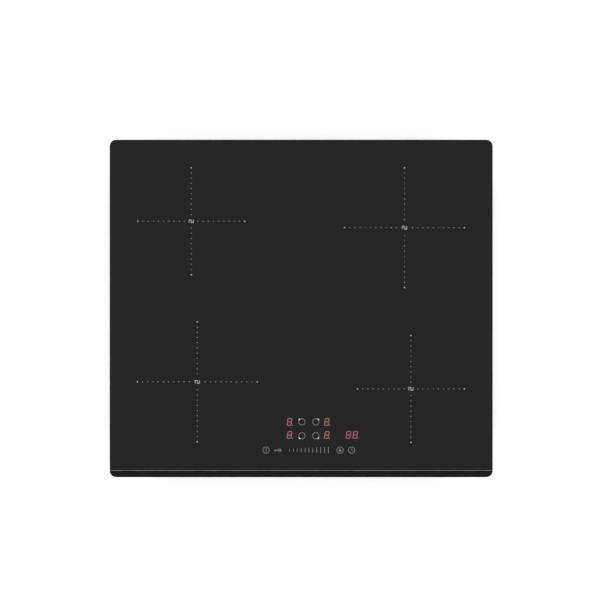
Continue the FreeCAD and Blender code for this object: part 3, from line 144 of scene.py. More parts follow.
class HobMetalSettings(bpy.types.PropertyGroup):
    spangle: length("Spangle", "Size of the zinc flowers on the tray", 6.5 * MM)
    zinc: tint("Zinc", "Colour of the galvanised sheet", (0.33, 0.345, 0.36))
    bead_width: length("Bead width", "Width of the beads pressed into the tray floor", 11 * MM)
    bead_height: length("Bead height", "How far the beads stand down", 2.0 * MM)
    thread_pitch: length("Thread pitch", "Pitch of the clamp screws' thread", 1.0 * MM)


class HobStageSettings(bpy.types.PropertyGroup):
    view_width: length("View width", "Width that the camera takes in", 0.924)
    aim_right: bpy.props.FloatProperty(name="Aim right", description="Camera's place across",
                                       default=-0.0018, unit="LENGTH")
    aim_rear: bpy.props.FloatProperty(name="Aim rear", description="Camera's place along",
                                      default=0.0131, unit="LENGTH")
    lens: amount("Lens", "Focal length in millimetres", 150.0, top=300.0)
    room: amount("Room light", "Brightness of the room overhead", 0.36)
    softbox: amount("Softbox", "Brightness of each softbox", 2.6)
    floor: tint("Floor", "Colour of the floor", (0.9, 0.9, 0.9))
    floor_glow: amount("Floor glow", "Light given off by the backlit floor", 0.34)


# ---------------------------------------------------------------- mesh helpers

def circle(radius, sides, x=0.0, y=0.0):
    turns = [2 * math.pi * step / sides for step in range(sides)]
    return [(x + radius * math.cos(turn), y + radius * math.sin(turn)) for turn in turns]


def rounded_box(half_x, half_y, corner, steps=12):
    """The outline of a box about the origin with round corners."""
    points = []
    quarters = ((1, 1), (-1, 1), (-1, -1), (1, -1))
    for quarter, (right, up) in enumerate(quarters):
        for step in range(steps + 1):
            turn = (quarter + step / steps) * math.pi / 2
            points.append((right * (half_x - corner) + corner * math.cos(turn),
                           up * (half_y - corner) + corner * math.sin(turn)))
    return points


def at_height(outline, z):
    return [(x, y, z) for x, y in outline]


def placed(outline, x, y, z, share=1.0):
    """An outline about a place, grown or shrunk by a share."""
    return [(x + share * across, y + share * along, z) for across, along in outline]


def loft(mesh, rings, closed=False):
    """Skin a row of rings. An open row gets a flat cap at each end, which are returned."""
    loops = [[mesh.verts.new(point) for point in ring] for ring in rings]
    following = loops[1:] + (loops[:1] if closed else [])
    for first, second in zip(loops, following):
        for here, there in zip(range(len(first)), [*range(1, len(first)), 0]):
            mesh.faces.new((first[here], first[there], second[there], second[here]))
    if closed:
        return []
    return [mesh.faces.new(loops[0][::-1]), mesh.faces.new(loops[-1])]


def prism(mesh, outline, low, high):
    return loft(mesh, [at_height(outline, low), at_height(outline, high)])


def lathe(mesh, profile, sides=32):
    """Turn (radius, height) points about the local Z axis."""
    return loft(mesh, [at_height(circle(radius, sides), z) for radius, z in profile])


def band(points, width, closed=False):
    """The two sides of a line of one width, mitred at its corners."""
    sharpest = 0.35
    count = len(points)
    left, right = [], []
    for place, point in enumerate(points):
        before = points[place - 1] if closed or place else point
        after = points[(place + 1) % count] if closed or place < count - 1 else point
        ahead = (Vector(after) - Vector(point)).normalized()
        behind = (Vector(point) - Vector(before)).normalized()
        along = (ahead + behind).normalized()
        across = Vector((-along.y, along.x))
        lean = max(sharpest, along.dot(ahead) if ahead.length else along.dot(behind))
        offset = across * (width / 2 / lean)
        left.append(tuple(Vector(point) + offset))
        right.append(tuple(Vector(point) - offset))
    return left, right


def stroke(mesh, points, width, low, high, closed=False):
    """A raised printed line."""
    left, right = band(points, width, closed)
    if not closed:
        prism(mesh, left + right[::-1], low, high)
        return
    rings = [at_height(right, low), at_height(right, high),
             at_height(left, high), at_height(left, low)]
    loft(mesh, rings, closed=True)


def plate(mesh, outlines, low, high, edge=0.0):
    """A flat plate with holes: the first outline is its rim and the others its holes."""
    edges = []
    for outline in outlines:
        corners = [mesh.verts.new((x, y, high)) for x, y in outline]
        edges += [mesh.edges.new(pair) for pair in zip(corners, corners[1:] + corners[:1])]
    filled = bmesh.ops.triangle_fill(mesh, edges=edges, use_beauty=True)["geom"]
    faces = [item for item in filled if isinstance(item, bmesh.types.BMFace)]
    raised = bmesh.ops.extrude_face_region(mesh, geom=faces, use_keep_orig=True)["geom"]
    lower = [item for item in raised if isinstance(item, bmesh.types.BMVert)]
    bmesh.ops.translate(mesh, verts=lower, vec=(0, 0, low - high))
    bmesh.ops.recalc_face_normals(mesh, faces=mesh.faces)
    if edge:
        round_edges(mesh, edge)


def round_edges(mesh, radius, segments=2):
    """Round every edge that turns sharply."""
    sharp = [item for item in mesh.edges
             if len(item.link_faces) == 2 and item.calc_face_angle() > SHARP_ANGLE]
    bmesh.ops.bevel(mesh, geom=sharp, offset=radius, segments=segments, affect="EDGES",
                    profile=0.5, clamp_overlap=True)


def islands(node):
    """The lowest and highest corners of each separate solid in a CAD node, left to right."""
    mesh = bmesh.new()
    mesh.from_mesh(frame["nodes"][node].data)
    bmesh.ops.remove_doubles(mesh, verts=mesh.verts, dist=0.001 * MM)
    waiting = set(mesh.verts)
    boxes = []
    while waiting:
        reached = [waiting.pop()]
        solid = list(reached)
        while reached:
            for edge in reached.pop().link_edges:
                for vertex in edge.verts:
                    if vertex in waiting:
                        waiting.remove(vertex)
                        reached.append(vertex)
                        solid.append(vertex)
        corners = [[pick(vertex.co[axis] for vertex in solid) for axis in range(3)]
                   for pick in (min, max)]
        boxes.append((Vector(corners[0]), Vector(corners[1])))
    mesh.free()
    return sorted(boxes, key=lambda box: tuple(round(size, 5) for size in box[0]))


def make_piece(name, mesh, finishes, body=MAIN_BODY, stands_for=()):
    """Turn a bmesh into a piece that rides on a CAD body."""
    bmesh.ops.recalc_face_normals(mesh, faces=mesh.faces)
    for face in mesh.faces:
        face.smooth = len(face.verts) < 5
    data = bpy.data.meshes.new(name)
    mesh.to_mesh(data)
    mesh.free()
    data.set_sharp_from_angle(angle=SHARP_ANGLE)
    for finish in finishes:
        data.materials.append(finish)
    piece = bpy.data.objects.new(name, data)
    bpy.context.scene.collection.objects.link(piece)
    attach(piece, body)
    if stands_for:
        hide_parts(*stands_for)
    return piece


def paint_from(mesh, count, index):
    """Give every face after the first so many one of the piece's finishes."""
    mesh.faces.ensure_lookup_table()
    for face in mesh.faces[count:]:
        face.material_index = index


def add_copy(mesh, part, place):
    """Add a bmesh to another at a placement matrix."""
    data = bpy.data.meshes.new("part")
    part.to_mesh(data)
    data.transform(place)
    mesh.from_mesh(data)
    bpy.data.meshes.remove(data)


def coat(node, finish):
    """Give a CAD node a finish, on every one of its material slots."""
    item = frame["nodes"][node]
    if not item.material_slots:
        item.data.materials.append(None)
    for holder in item.material_slots:
        holder.link = "OBJECT"
        holder.material = finish


# ---------------------------------------------------------------- finish helpers

class Finish:
    """A material built round one Principled shader, patterned in the object's own metres."""

    def __init__(self, name, **sockets):
        self.material = bpy.data.materials.new(name + "_finish")
        self.material.use_nodes = True
        self.tree = self.material.node_tree
        self.shader = next(node for node in self.tree.nodes if node.type == "BSDF_PRINCIPLED")
        for socket, value in sockets.items():
            self.feed(self.shader.inputs[socket.replace("_", " ")], value)
        self.place = self.add("TexCoord").outputs["Object"]
        self.normal = None

    def add(self, kind, **settings):
        node = self.tree.nodes.new("ShaderNode" + kind)
        for setting, value in settings.items():
            setattr(node, setting, value)
        return node

    def feed(self, socket, value):
        if isinstance(value, bpy.types.NodeSocket):
            self.tree.links.new(value, socket)
        elif isinstance(value, tuple) and len(value) == 3 and socket.type == "RGBA":
            socket.default_value = (*value, 1.0)
        else:
            socket.default_value = value

    def stretched(self, size, stretch):
        mapping = self.add("Mapping")
        self.feed(mapping.inputs["Vector"], self.place)
        mapping.inputs["Scale"].default_value = [1 / (size * part) for part in stretch]
        return mapping.outputs[0]

    def noise(self, size, detail=3.0, stretch=(1, 1, 1), harshness=0.55):
        """Cloudy variation whose patches are about this size."""
        node = self.add("TexNoise")
        self.feed(node.inputs["Vector"], self.stretched(size, stretch))
        node.inputs["Scale"].default_value = 1.0
        node.inputs["Detail"].default_value = detail
        node.inputs["Roughness"].default_value = harshness
        return node.outputs["Fac"]

    def cells(self, size, output="Color", feature="F1", stretch=(1, 1, 1)):
        """Crystal-like cells of about this size."""
        node = self.add("TexVoronoi", feature=feature)
        self.feed(node.inputs["Vector"], self.stretched(size, stretch))
        node.inputs["Scale"].default_value = 1.0
        return node.outputs[output]

    def grey(self, colour):
        node = self.add("SeparateColor")
        self.feed(node.inputs[0], colour)
        return node.outputs[0]

    def spread(self, value, low, high, first=0.0, last=1.0):
        """Map a range of one value onto another, and stop at its ends."""
        node = self.add("MapRange")
        for socket, part in zip(node.inputs, (value, low, high, first, last)):
            self.feed(socket, part)
        return node.outputs[0]

    def blend(self, share, first, second):
        node = self.add("Mix", data_type="RGBA")
        for socket, part in ((0, share), (6, first), (7, second)):
            self.feed(node.inputs[socket], part)
        return node.outputs[2]

    def reckon(self, operation, first, second):
        node = self.add("Math", operation=operation)
        self.feed(node.inputs[0], first)
        self.feed(node.inputs[1], second)
        return node.outputs[0]

    def ridges(self, pitch):
        """Ridges that follow each other from left to right."""
        parts = self.add("SeparateXYZ")
        self.feed(parts.inputs[0], self.place)
        waves = self.reckon("MULTIPLY", parts.outputs["X"], 2 * math.pi / pitch)
        return self.spread(self.reckon("SINE", waves, 0.0), -1.0, 1.0)

    def worn_edge(self, radius):
        """1 on outer and inner edges within this distance, 0 on flats."""
        rounded = self.add("Bevel", samples=4)
        rounded.inputs["Radius"].default_value = radius
        facing = self.add("NewGeometry").outputs["Normal"]
        match = self.add("VectorMath", operation="DOT_PRODUCT")
        self.feed(match.inputs[0], rounded.outputs[0])
        self.feed(match.inputs[1], facing)
        return self.spread(match.outputs["Value"], 0.995, 0.86)

    def soft_edges(self, radius):
        """Catch the light on every edge as if it were rounded."""
        rounded = self.add("Bevel", samples=4)
        rounded.inputs["Radius"].default_value = radius
        self.normal = rounded.outputs[0]
        self.feed(self.shader.inputs["Normal"], self.normal)

    def colour(self, value):
        self.feed(self.shader.inputs["Base Color"], value)

    def roughness(self, value, low, high):
        self.feed(self.shader.inputs["Roughness"], self.spread(value, 0.25, 0.75, low, high))

    def relief(self, height, depth):
        """Raise the surface by up to a depth where the height is 1."""
        node = self.add("Bump")
        node.inputs["Strength"].default_value = 1.0
        node.inputs["Distance"].default_value = depth
        self.feed(node.inputs["Height"], height)
        if self.normal:
            self.feed(node.inputs["Normal"], self.normal)
        self.normal = node.outputs[0]
        self.feed(self.shader.inputs["Normal"], self.normal)


def scaled(colour, share):
    return tuple(min(1.0, part * share) for part in colour)


# ---------------------------------------------------------------- glass finishes

def clouded(name, cloud, colours, streak, gloss, ripple, **sockets):
    """A finish whose colour, gloss and surface each follow a noise of their own.

    Cloud, streak and ripple say what each noise takes. The ripple ends with its depth, and a
    smooth finish has none.
    """
    finish = Finish(name, **sockets)
    finish.colour(finish.blend(finish.noise(*cloud), *colours))
    finish.roughness(finish.noise(*streak), *gloss)
    if ripple:
        finish.relief(finish.noise(*ripple[:-1]), ripple[-1])
    return finish.material


def black_glass():
    """Polished glass-ceramic, with the faint cloud that wiping leaves."""
    body = tuple(bpy.context.scene.hob_glass.colour)
    return clouded("black_glass", (55 * MM,), (body, scaled(body, 1.25)),
                   (35 * MM, 5, (2.5, 1, 1)), (0.045, 0.075), (14 * MM, 1, 0.002 * MM), IOR=1.5)


def bevel_glass():
    """The same glass where it slopes to the front edge."""
    body = tuple(bpy.context.scene.hob_glass.colour)
    return clouded("bevel_glass", (40 * MM,), (scaled(body, 0.9), scaled(body, 1.1)),
                   (20 * MM, 3, (4, 1, 1)), (0.05, 0.09), (3 * MM, 3, (12, 1, 1), 0.0008 * MM),
                   IOR=1.5, Specular_IOR_Level=0.3)


def arris_glass():
    """The ground line where the flat meets the slope."""
    return clouded("arris_glass", (1.5 * MM,), ((0.03, 0.03, 0.031), (0.045, 0.045, 0.047)),
                   (0.8 * MM, 3, (6, 1, 1)), (0.16, 0.3), (0.3 * MM, 3, (10, 1, 1), 0.003 * MM),
                   IOR=1.5, Specular_IOR_Level=1.0)


def shade_glass():
    """Painted shade: the dark line along the foot of the ground one, a darker and barely
    reflective strip that stands in for the dark reflection at the bend.
    """
    return clouded("shade_glass", (8 * MM,), ((0.0012, 0.0012, 0.0014), (0.002, 0.002, 0.0022)),
                   (4 * MM, 3, (6, 1, 1)), (0.1, 0.2), None, IOR=1.5, Specular_IOR_Level=0.03)


def seamed_glass():
    """The matt ground rim of the plate."""
    return clouded("seamed_glass", (2 * MM,), ((0.0022, 0.0022, 0.0024), (0.006, 0.006, 0.0064)),
                   (0.5 * MM, 3, (3, 3, 1)), (0.32, 0.5), (0.25 * MM, 0.004 * MM),
                   IOR=1.5, Specular_IOR_Level=0.12)


def dimpled_glass():
    """The underside, cast with a close field of small nubs."""
    finish = Finish("dimpled_glass", IOR=1.5)
    cloud = finish.noise(30 * MM)
    finish.colour(finish.blend(cloud, (0.004, 0.004, 0.0045), (0.007, 0.007, 0.0075)))
    nubs = finish.cells(2.6 * MM, output="Distance")
    finish.roughness(nubs, 0.12, 0.22)
    finish.relief(finish.spread(nubs, 0.1, 0.5, 1.0, 0.0), 0.05 * MM)
    return finish.material


def enamel(name, colour):
    """Fired ceramic print: slightly grainy and unglazed."""
    return clouded(name, (0.6 * MM, 4), (scaled(colour, 0.86), scaled(colour, 1.1)),
                   (0.4 * MM,), (0.42, 0.6), (0.12 * MM, 0.004 * MM), IOR=1.45)


def lit_segment():
    """A glowing bar of a digit, seen through the glass."""
    settings = bpy.context.scene.hob_display
    lit = tuple(settings.lit)
    finish = Finish("lit_segment", Base_Color=(0.02, 0.004, 0.005), Roughness=0.12,
                    Emission_Strength=settings.brightness)
    glow = finish.blend(finish.noise(1.2 * MM), scaled(lit, 0.86), lit)
    finish.feed(finish.shader.inputs["Emission Color"], glow)
    return finish.material


def display_haze():
    """Glass over a display, with red light that fades away from the digits."""
    settings = bpy.context.scene.hob_display
    glass = tuple(bpy.context.scene.hob_glass.colour)
    finish = Finish("display_haze", IOR=1.5, Roughness=0.05,
                    Emission_Strength=settings.haze_glow)
    finish.colour(finish.blend(finish.noise(55 * MM), glass, scaled(glass, 1.25)))
    share = finish.add("Attribute", attribute_name="haze").outputs["Fac"]
    share = finish.reckon("MULTIPLY", share, share)
    finish.feed(finish.shader.inputs["Emission Color"],
                finish.blend(share, (0.0, 0.0, 0.0), tuple(settings.haze)))
    return finish.material


# ---------------------------------------------------------------- other finishes

def galvanised_steel():
    """Zinc-coated sheet with its frosty spangle, dulled patches and bright cut edges."""
    settings = bpy.context.scene.hob_metal
    zinc = tuple(settings.zinc)
    finish = Finish("galvanised_steel", Metallic=0.92)
    finish.soft_edges(0.4 * MM)
    flowers = finish.grey(finish.cells(settings.spangle))
    fine = finish.grey(finish.cells(settings.spangle / 3))
    mixed = finish.reckon("ADD", finish.reckon("MULTIPLY", flowers, 0.7),
                          finish.reckon("MULTIPLY", fine, 0.3))
    sheet = finish.blend(finish.spread(mixed, 0.2, 0.8), scaled(zinc, 0.88), scaled(zinc, 1.16))
    stained = finish.spread(finish.noise(60 * MM, detail=5), 0.52, 0.7, 0.0, 0.22)
    sheet = finish.blend(stained, sheet, scaled(zinc, 0.6))
    finish.colour(finish.blend(finish.worn_edge(0.5 * MM), sheet, scaled(zinc, 1.45)))
    finish.roughness(mixed, 0.3, 0.5)
    finish.relief(finish.noise(0.8 * MM, stretch=(1, 4, 1)), 0.004 * MM)
    return finish.material


def bright_metal(name, colour, low, high, grain):
    """Plated or rolled metal with fine drawn lines and rubbed edges."""
    finish = Finish(name, Metallic=1.0)
    finish.soft_edges(0.2 * MM)
    cloud = finish.blend(finish.noise(6 * MM), scaled(colour, 0.82), colour)
    finish.colour(finish.blend(finish.worn_edge(0.25 * MM), cloud, scaled(colour, 1.25)))
    finish.roughness(finish.noise(1.5 * MM, stretch=grain), low, high)
    finish.relief(finish.noise(0.6 * MM, stretch=grain), 0.001 * MM)
    return finish.material


# Colour, lowest and highest roughness, and the way that the drawn lines run.
METALS = {
    "zinc_steel": ((0.56, 0.57, 0.55), 0.18, 0.34, (1, 1, 6)),
    "spring_steel": ((0.34, 0.35, 0.38), 0.22, 0.3, (6, 1, 1)),
    "aluminium_sheet": ((0.74, 0.75, 0.77), 0.26, 0.42, (1, 14, 1)),
    "brass": ((0.72, 0.5, 0.2), 0.2, 0.36, (1, 1, 6)),
}


def moulded_plastic(name, colour, gloss, spark):
    """Moulded plastic with a spark-eroded texture, softer on its edges."""
    finish = Finish(name, IOR=1.48)
    finish.soft_edges(0.35 * MM)
    body = finish.blend(finish.noise(9 * MM), scaled(colour, 0.88), colour)
    finish.colour(finish.blend(finish.worn_edge(0.4 * MM), body, scaled(colour, 1.5)))
    finish.roughness(finish.noise(0.9 * MM), gloss, gloss + 0.16)
    finish.relief(finish.noise(0.35 * MM, detail=4), spark * MM * 0.4)
    return finish.material


# Colour, lowest roughness and depth of the texture.
PLASTICS = {
    "black_plastic": ((0.018, 0.018, 0.019), 0.42, 0.05),
    "grey_plastic": ((0.16, 0.165, 0.17), 0.42, 0.05),
    "white_plastic": ((0.74, 0.73, 0.69), 0.36, 0.05),
    "component_black": ((0.022, 0.022, 0.024), 0.5, 0.03),
    "capacitor_film": ((0.33, 0.075, 0.03), 0.28, 0.02),
    "display_red": ((0.05, 0.008, 0.008), 0.2, 0.01),
}


def silicone_black():
    """Cured silicone: satin, with faint ripples from the nozzle."""
    return clouded("silicone_black", (5 * MM,), ((0.008, 0.008, 0.009), (0.016, 0.016, 0.017)),
                   (3 * MM,), (0.3, 0.48), (2.5 * MM, 2, 0.08 * MM), IOR=1.42)


def foam(name, colour, pore):
    """Closed-cell foam: matt and full of small pores."""
    finish = Finish(name, IOR=1.4, Specular_IOR_Level=0.25)
    pores = finish.cells(pore, output="Distance")
    dark = finish.spread(pores, 0.08, 0.4)
    finish.colour(finish.blend(dark, scaled(colour, 0.45), colour))
    finish.roughness(finish.noise(4 * MM), 0.82, 0.96)
    finish.relief(dark, 0.12 * MM)
    return finish.material


# Colour and size of the pores.
FOAMS = {
    "seal_foam": ((0.028, 0.028, 0.029), 0.8 * MM),
    "foam_black": ((0.02, 0.02, 0.022), 0.6 * MM),
}


def copper_wire():
    """Flat coil of stranded, lacquered wire."""
    finish = Finish("copper_wire", Metallic=0.85, Coat_Weight=0.5, Coat_Roughness=0.25)
    strands = finish.noise(0.35 * MM, detail=5, harshness=0.7)
    finish.colour(finish.blend(strands, (0.28, 0.085, 0.03), (0.72, 0.33, 0.16)))
    finish.roughness(finish.noise(4 * MM), 0.28, 0.42)
    finish.relief(strands, 0.12 * MM)
    return finish.material


def ferrite():
    """Sintered ferrite: dark grey, fine-grained, chipped along its edges."""
    finish = Finish("ferrite", IOR=1.6)
    grain = finish.noise(1.2 * MM, detail=5)
    body = finish.blend(grain, (0.035, 0.034, 0.035), (0.075, 0.073, 0.072))
    chips = finish.reckon("MULTIPLY", finish.worn_edge(0.5 * MM), finish.noise(1.5 * MM, detail=4))
    finish.colour(finish.blend(chips, body, (0.3, 0.29, 0.28)))
    finish.roughness(finish.noise(1 * MM), 0.5, 0.72)
    finish.relief(finish.noise(0.3 * MM, detail=4), 0.03 * MM)
    return finish.material


def mica():
    """Pressed mica paper with glinting flakes."""
    finish = Finish("mica", IOR=1.56, Coat_Weight=0.25, Coat_Roughness=0.3)
    flakes = finish.grey(finish.cells(1.1 * MM, stretch=(1, 1, 0.3)))
    finish.colour(finish.blend(flakes, (0.5, 0.44, 0.33), (0.72, 0.67, 0.56)))
    finish.roughness(flakes, 0.3, 0.6)
    finish.relief(flakes, 0.02 * MM)
    return finish.material


def circuit_board():
    """Green solder mask over faint copper tracks."""
    finish = Finish("circuit_board", IOR=1.5, Coat_Weight=0.4, Coat_Roughness=0.2)
    tracks = finish.cells(7 * MM, output="Distance", feature="DISTANCE_TO_EDGE")
    tracks = finish.spread(tracks, 0.08, 0.12, 1.0, 0.0)
    mask = finish.blend(finish.noise(30 * MM), (0.008, 0.07, 0.03), (0.012, 0.1, 0.045))
    finish.colour(finish.blend(tracks, mask, (0.03, 0.17, 0.07)))
    finish.roughness(finish.noise(2 * MM), 0.3, 0.46)
    finish.relief(tracks, 0.05 * MM)
    return finish.material


def lead_sleeve():
    """Woven glass-fibre sleeve on the coil leads."""
    finish = Finish("lead_sleeve", IOR=1.45, Sheen_Weight=0.2)
    weave = finish.cells(0.5 * MM, output="Distance")
    finish.colour(finish.blend(weave, (0.75, 0.7, 0.6), (0.36, 0.33, 0.28)))
    finish.roughness(finish.noise(2 * MM), 0.6, 0.8)
    finish.relief(weave, 0.06 * MM)
    return finish.material


def ribbon_grey():
    """Flat cable with one ridge per wire."""
    finish = Finish("ribbon_grey", IOR=1.46)
    ridges = finish.ridges(1.27 * MM)
    finish.colour(finish.blend(ridges, (0.2, 0.2, 0.21), (0.42, 0.42, 0.43)))
    finish.roughness(finish.noise(3 * MM), 0.35, 0.5)
    finish.relief(ridges, 0.25 * MM)
    return finish.material


OTHER_FINISHES = {
    "galvanised_steel": galvanised_steel, "silicone_black": silicone_black,
    "copper_wire": copper_wire, "ferrite": ferrite, "mica": mica,
    "circuit_board": circuit_board, "lead_sleeve": lead_sleeve, "ribbon_grey": ribbon_grey,
}


def finish_of(slot):
    """The finish of one material slot, made once."""
    made = bpy.data.materials.get(slot + "_finish")
    if made:
        return made
    for maker, recipes in ((bright_metal, METALS), (moulded_plastic, PLASTICS), (foam, FOAMS)):
        if slot in recipes:
            return maker(slot, *recipes[slot])
    return OTHER_FINISHES[slot]()


# ---------------------------------------------------------------- glass plate

POLISHED, SEAMED, BEVEL, ARRIS, SHADE, DIMPLED = range(6)


def front_fall(y):
    """How far the upper face has fallen at a place near the front edge."""
    settings = bpy.context.scene.hob_glass
    reach = GLASS_LOW.y + settings.bevel_width - y
    if reach <= 0:
        return 0.0
    if reach < settings.arris_width:
        return settings.arris_drop * reach / settings.arris_width
    share = (reach - settings.arris_width) / (settings.bevel_width - settings.arris_width)
    return settings.arris_drop + share * (settings.bevel_drop - settings.arris_drop)


def glass_mesh():
    """The plate with rounded rims, cut along each line of its front strip."""
    settings = bpy.context.scene.hob_glass
    round_off = settings.edge_radius
    steps = 4
    profile = []
    arc = [math.pi / 2 * step / steps for step in range(steps + 1)]
    for level, rising, turns in ((GLASS_LOW.z + round_off, -1, arc[::-1]),
                                 (GLASS_HIGH.z - round_off, 1, arc)):
        profile += [(round_off * (1 - math.cos(turn)), level + rising * round_off * math.sin(turn))
                    for turn in turns]
    mesh = bmesh.new()
    half_x, half_y = GLASS_HIGH.x, GLASS_HIGH.y
    rings = [at_height(rounded_box(half_x - inset, half_y - inset,
                                   settings.corner_radius - inset), z)
             for inset, z in profile]
    lower, upper = loft(mesh, rings)
    for face in mesh.faces:
        face.material_index = SEAMED
    lower.material_index = DIMPLED
    upper.material_index = POLISHED
    top = GLASS_LOW.y + settings.bevel_width
    lines = [top, top - settings.arris_width, top - settings.shade_width - settings.arris_width]
    for y in lines:
        geometry = mesh.verts[:] + mesh.edges[:] + mesh.faces[:]
        bmesh.ops.bisect_plane(mesh, geom=geometry, plane_co=(0, y, 0), plane_no=(0, 1, 0))
    middle = (GLASS_LOW.z + GLASS_HIGH.z) / 2
    for vertex in mesh.verts:
        if vertex.co.z > middle:
            vertex.co.z -= front_fall(vertex.co.y)
    for face in mesh.faces:
        if face.material_index == POLISHED:
            y = face.calc_center_median().y
            passed = sum(y < edge for edge in lines)
            face.material_index = (POLISHED, ARRIS, SHADE, BEVEL)[passed]
    return mesh


def make_glass():
    finishes = [black_glass(), seamed_glass(), bevel_glass(), arris_glass(), shade_glass(),
                dimpled_glass()]
    piece = make_piece("bevelled_glass_plate", glass_mesh(), finishes,
                       stands_for=["glass_top"])
    for face in piece.data.polygons:
        face.use_smooth = face.material_index == SEAMED


def make_seal():
    """The foam strip under the glass rim, crowned where it isn't yet pressed flat."""
    low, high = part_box("worktop_seal")
    width = 8 * MM
    corner = 7 * MM
    thick = high.z - low.z
    profile = [(0.25, 1.0), (0.05, 0.8), (0.0, 0.5), (0.06, 0.2), (0.3, 0.02), (0.5, 0.0),
               (0.7, 0.02), (0.94, 0.2), (1.0, 0.5), (0.95, 0.8), (0.75, 1.0)]
    mesh = bmesh.new()
    rings = [at_height(rounded_box(high.x - share * width, high.y - share * width,
                                   max(corner - share * width, 0.6 * MM)),
                       low.z + rise * thick)
             for share, rise in profile]
    loft(mesh, rings, closed=True)
    make_piece("crowned_seal_strip", mesh, [finish_of("seal_foam")],
               stands_for=["worktop_seal"])


# ---------------------------------------------------------------- printed marks

# Each zone's centre, and whether it is one of the two large ones.
ZONES = {
    "rear_left": (-169.3 * MM, 134.4 * MM, False),
    "rear_right": (159.1 * MM, 124.5 * MM, True),
    "front_left": (-160.0 * MM, -112.9 * MM, True),
    "front_right": (169.0 * MM, -123.8 * MM, False),
}


def print_levels():
    """Where a print starts, just inside the glass, and its top."""
    height = bpy.context.scene.hob_marks.height
    return GLASS_FACE - height / 4, GLASS_FACE + height


def printed_dot(mesh, x, y, radius):
    low, high = print_levels()
    sides = 14
    shoulder = 0.8
    loft(mesh, [at_height(circle(radius, sides, x, y), low),
                at_height(circle(radius, sides, x, y), low + shoulder * (high - low)),
                at_height(circle(radius * shoulder, sides, x, y), high)])


def coil_sign(mesh, x, y):
    """A wire that winds up and down: the sign for a heating coil."""
    settings = bpy.context.scene.hob_marks
    low, high = print_levels()
    turns, weight = 3, 0.8 * MM
    half_height = (settings.sign_height - weight) / 2
    pitch = (settings.sign_width - weight) / (turns - 1)
    line = []
    for turn in range(turns):
        across = x + (turn - (turns - 1) / 2) * pitch
        up = 1 if turn % 2 else -1
        line += [(across, y + up * half_height), (across, y - up * half_height)]
    stroke(mesh, line, weight, low, high)


def make_zone_marks():
    """One dotted cross to each cooking zone, with the coil sign at its centre."""
    settings = bpy.context.scene.hob_marks
    finishes = [enamel("fine_enamel", tuple(settings.dots)),
                enamel("solid_enamel", tuple(settings.pale))]
    for name, (x, y, large) in ZONES.items():
        reach = settings.large_zone if large else settings.small_zone
        first = reach - settings.dot_pitch * round((reach - settings.first_dot)
                                                   / settings.dot_pitch)
        count = round((reach - first) / settings.dot_pitch) + 1
        mesh = bmesh.new()
        for place in range(count):
            radius = settings.end_dot_radius if place == count - 1 else settings.dot_radius
            distance = first + place * settings.dot_pitch
            for across, along in ((1, 0), (0, 1), (-1, 0), (0, -1)):
                before = len(mesh.faces)
                printed_dot(mesh, x + across * distance, y + along * distance, radius)
                paint_from(mesh, before, int(place == count - 1))
        before = len(mesh.faces)
        coil_sign(mesh, x, y)
        paint_from(mesh, before, 1)
        make_piece("zone_cross_" + name, mesh, finishes)


# How far each mark of the key row stands to the right of the hob's middle.
KEY_ROW = {
    "power": -54.1 * MM,
    "lock": -32.8 * MM,
    "slider": -18 * MM,
    "boost": 59.9 * MM,
    "timer": 77.7 * MM,
}


def key_place(key):
    return KEY_ROW[key], GLASS_LOW.y + bpy.context.scene.hob_controls.key_row


def ring_mark(mesh, x, y, radius):
    low, high = print_levels()
    stroke(mesh, circle(radius, 40, x, y), bpy.context.scene.hob_controls.stroke, low, high,
           closed=True)


def power_key(mesh):
    low, high = print_levels()
    settings = bpy.context.scene.hob_controls
    x, y = key_place("power")
    half_bar = 2.7 * MM
    ring_mark(mesh, x, y, settings.key_radius)
    stroke(mesh, [(x, y - half_bar), (x, y + half_bar)], settings.stroke, low, high)


def lock_key(mesh):
    low, high = print_levels()
    settings = bpy.context.scene.hob_controls
    x, y = key_place("lock")
    bow, reach, shaft = 1.95 * MM, 8.6 * MM, 1.4 * settings.stroke
    ring_mark(mesh, x, y, bow)
    end = x - reach
    stroke(mesh, [(x - bow - settings.stroke / 2, y), (end, y)], shaft, low, high)
    for tooth, drop in ((0.5 * MM, 1.2 * MM), (2.2 * MM, 0.9 * MM)):
        foot = y - shaft / 2
        stroke(mesh, [(end + tooth, foot), (end + tooth, foot - drop)], 0.9 * MM, low, high)


def boost_key(mesh):
    low, high = print_levels()
    x, y = key_place("boost")
    ring_mark(mesh, x, y, bpy.context.scene.hob_controls.key_radius)
    flame = [(-0.9, 2.5), (0.1, 1.5), (0.7, 0.5), (1.5, -0.2), (1.3, -1.6), (0.3, -2.4),
             (-0.8, -2.1), (-1.3, -1.0), (-0.9, 0.3)]
    prism(mesh, [(x + across * MM, y + along * MM) for across, along in flame[::-1]], low, high)


def timer_key(mesh):
    low, high = print_levels()
    settings = bpy.context.scene.hob_controls
    x, y = key_place("timer")
    ring_mark(mesh, x, y, settings.key_radius)
    hands = [(x, y + 3.2 * MM), (x, y), (x + 2.5 * MM, y - 1.0 * MM)]
    stroke(mesh, hands, 0.9 * settings.stroke, low, high)


def make_key_marks():
    settings = bpy.context.scene.hob_marks
    finish = enamel("key_enamel", tuple(settings.grey))
    for name, draw in (("power_key_print", power_key), ("lock_key_print", lock_key),
                       ("boost_key_print", boost_key), ("timer_key_print", timer_key)):
        mesh = bmesh.new()
        draw(mesh)
        make_piece(name, mesh, [finish])


